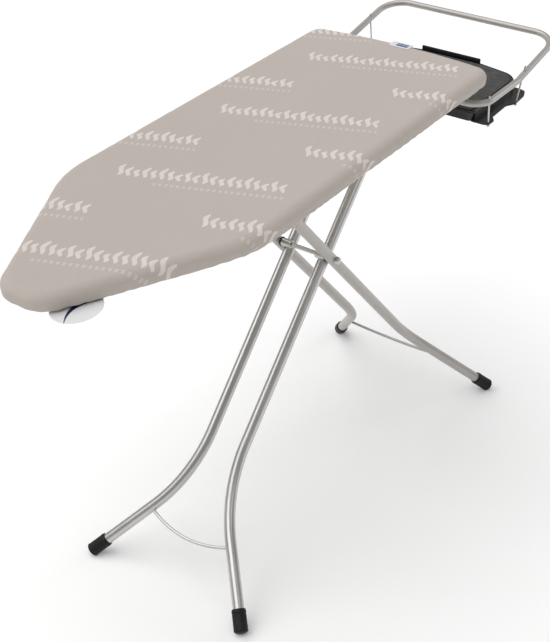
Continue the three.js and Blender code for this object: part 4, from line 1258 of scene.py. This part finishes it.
def pressed(node, body, width=0.35):
    """A merged copy of a solid-model piece with a narrow bevel along its sharp edges."""
    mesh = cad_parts[node].data.copy()
    mesh.name = node + "_pressed"
    work = bmesh.new()
    work.from_mesh(mesh)
    bmesh.ops.remove_doubles(work, verts=work.verts, dist=2e-6)
    bmesh.ops.dissolve_limit(work, angle_limit=np.radians(1.0), verts=work.verts, edges=work.edges)
    bmesh.ops.triangulate(work, faces=[f for f in work.faces if len(f.verts) > 40])
    work.to_mesh(mesh)
    work.free()
    piece = bpy.data.objects.new(node + "_pressed", mesh)
    bpy.context.scene.collection.objects.link(piece)
    mesh.materials.clear()
    mesh.materials.append(zinc)
    mesh.polygons.foreach_set("use_smooth", np.ones(len(mesh.polygons), bool))
    bevel = piece.modifiers.new("edge", "BEVEL")
    bevel.width, bevel.segments, bevel.limit_method = width / 1000, 2, "ANGLE"
    bevel.angle_limit, bevel.use_clamp_overlap = np.radians(40), True
    piece.modifiers.new("faces", "WEIGHTED_NORMAL").keep_sharp = True
    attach(piece, body)
    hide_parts(node)
    made[piece.name] = piece
    return piece


for k in range(1, 6):
    pressed(f"cross_brace_{k}", "board")
for name, _ in SIDES:
    for word in ("rack_rail", "leg_hinge_bracket", "guard_clamp"):
        pressed(f"{word}_{name}", "board")
pressed("lever_bracket_front", "board")
pressed("lever_bracket_rear", "board")
pressed("lever_comb", "height_lever", 0.3)
print("pressed parts:", sum(name.endswith("_pressed") for name in made))

# %% [markdown]
# ## Label and card
#
# A woven white tape with a plain blue patch is stitched across the square end, and an oval
# glossy card with a navy sweep hangs under the nose. Both marks are plain shapes of this
# lesson's own. Their patterns are worked out from the object's coordinates, centred on each
# piece.

# %% Make the label and the card
LABEL_AT = (1223, -2)
CARD_AT, CARD_HALF = (60, -78), (50, 43)


def make_tape():
    """White woven tape: a blue patch with one paler line across it, both cut out by distances."""
    material, pen, shader = finish_pen("label_tape")
    place = pen.node("ShaderNodeTexCoord", output="Object")
    moved = pen.vector("MULTIPLY", pen.vector("SUBTRACT", place, tuple(at(*LABEL_AT, 0).tolist())),
                       (1000, 1000, 0))
    x, y, _ = pen.split(moved)
    threads = place_group(pen, weave, Vector=place, Threads=2600.0, Slub=0.2)
    patch = pen.math("MULTIPLY", pen.math("LESS_THAN", pen.math("ABSOLUTE", pen.math("ADD", y, 4.0)), 15.0),
                     pen.math("LESS_THAN", pen.math("ABSOLUTE", x), 7.0))
    slot_line = pen.math("LESS_THAN", pen.math("ABSOLUTE", pen.math("ADD", x, -1.0)), 1.1)
    patch = pen.math("MULTIPLY", patch, pen.math("SUBTRACT", 1.0, pen.math("MULTIPLY", slot_line, 0.85)))
    base = pen.mix(threads["Shade"], srgb(214, 214, 216), srgb(232, 232, 234))
    base = pen.mix(patch, base, srgb(64, 88, 140))
    pen.graph.links.new(base, shader.inputs["Base Color"])
    shader.inputs["Roughness"].default_value = 0.75
    bump(pen, shader, threads["Height"], 0.4, 0.00008)
    return material


def make_card():
    """White glossy card with a navy sweep: a parabola across it that widens along its length."""
    material, pen, shader = finish_pen("card_gloss")
    place = pen.node("ShaderNodeTexCoord", output="Object")
    moved = pen.vector("MULTIPLY", pen.vector("SUBTRACT", place, tuple(at(*CARD_AT, 0).tolist())),
                       (1000, 1000, 0))
    x, y, _ = pen.split(moved)
    bow = pen.math("MULTIPLY", pen.math("MULTIPLY", x, x), 0.008)
    off = pen.math("ABSOLUTE", pen.math("SUBTRACT", pen.math("ADD", y, bow), 3.0))
    thick = pen.math("MULTIPLY_ADD", x, 0.09, 5.0)
    sweep = pen.ramp(pen.math("SUBTRACT", thick, off), -0.3, 0.3)
    fibre = pen.noise(place, 900.0, 4.0)
    base = pen.mix(fibre, srgb(226, 226, 228), srgb(238, 238, 240))
    base = pen.mix(sweep, base, srgb(32, 40, 84))
    pen.graph.links.new(base, shader.inputs["Base Color"])
    pen.graph.links.new(pen.math("MULTIPLY_ADD", fibre, 0.1, 0.2), shader.inputs["Roughness"])
    shader.inputs["Coat Weight"].default_value = 0.4
    bump(pen, shader, fibre, 0.2, 0.00003)
    return material


tape_shape = outline([(1210, -28), (1236, -28), (1236, 24), (1210, 24)], [0.8] * 4, 160)
label = make_piece("end_label", sheet_layer(tape_shape, plain_sheet(952.3, 953.1, 0.3),
                                            ((1223, -14), (1223.01, 10))), make_tape(), "board",
                   ("edge_label",))
t = np.linspace(0, 2 * np.pi, 160, endpoint=False)
oval = (np.array(CARD_AT) + np.stack([CARD_HALF[0] * np.cos(t), CARD_HALF[1] * np.sin(t)], -1),
        unit(np.stack([CARD_HALF[1] * np.cos(t), CARD_HALF[0] * np.sin(t)], -1)))
make_piece("oval_card", sheet_layer(oval, plain_sheet(913.7, 914.7, 0.3), ((45, -78), (75, -78))),
           make_card(), "board", ("oval_tag",))
print("label and card made")

# %% [markdown]
# ## The soft pieces
#
# The cover is one sheet of cloth that was cut flat and then stretched over the pad. The pad is
# a thin full sheet of foam.

print("declared:", cover.name, "and", pad.name)

# %% [markdown]
# ## Floor and light
#
# The board stands on a plain pale floor, 28 metres across. A dim white world fills
# the shadows. Most of the light comes from above, as from a glowing ceiling: it is a sun lamp
# with a very wide disc, because its light doesn't weaken on its way down, so the floor stays as
# bright as the top. Two small panels at the sides shape the metal: chrome shows only what is
# around it, so a tube needs a bright panel beside it and something darker between.

# %% Make the floor and the lights
floor_mesh = bpy.data.meshes.new("floor")
floor_mesh.from_pydata([(-14, -14, 0), (14, -14, 0), (14, 14, 0), (-14, 14, 0)], [], [(0, 1, 2, 3)])
floor = bpy.data.objects.new("floor", floor_mesh)
bpy.context.scene.collection.objects.link(floor)
floor_finish, floor_pen, floor_shader = finish_pen("floor")
speck = floor_pen.noise(floor_pen.node("ShaderNodeTexCoord", output="Object"), 3.0, 2.0)
floor_pen.graph.links.new(floor_pen.mix(speck, (0.93, 0.93, 0.93, 1), (0.96, 0.96, 0.96, 1)),
                          floor_shader.inputs["Base Color"])
floor_shader.inputs["Roughness"].default_value = 0.9
floor_shader.inputs["Specular IOR Level"].default_value = 0.1
floor_shader.inputs["Emission Color"].default_value = (1, 1, 1, 1)
floor_shader.inputs["Emission Strength"].default_value = 0.1
floor_mesh.materials.append(floor_finish)

world = bpy.data.worlds.new("studio")
world.use_nodes = True
world.node_tree.nodes["Background"].inputs["Color"].default_value = (1.0, 1.0, 1.0, 1)
world.node_tree.nodes["Background"].inputs["Strength"].default_value = 0.34
bpy.context.scene.world = world
bpy.context.scene.view_settings.view_transform = "Standard"


def soft_light(name, place, aim, size, power):
    """A square area light of a size in metres, turned towards what it lights."""
    data = bpy.data.lights.new(name, "AREA")
    data.size, data.energy = size, power
    light = bpy.data.objects.new(name, data)
    light.location = place
    light.rotation_euler = (Vector(aim) - Vector(place)).to_track_quat("-Z", "Y").to_euler()
    bpy.context.scene.collection.objects.link(light)


ceiling = bpy.data.objects.new("ceiling", bpy.data.lights.new("ceiling", "SUN"))
ceiling.data.energy, ceiling.data.angle = 2.1, np.radians(75)
ceiling.rotation_euler = Vector((-0.25, 0.35, 1)).to_track_quat("Z", "Y").to_euler()
bpy.context.scene.collection.objects.link(ceiling)
soft_light("key", (-0.6, -3.0, 2.6), (0, 0, 0.5), 1.2, 5)
soft_light("side", (2.8, -1.6, 1.8), (0, 0, 0.5), 1.2, 10)
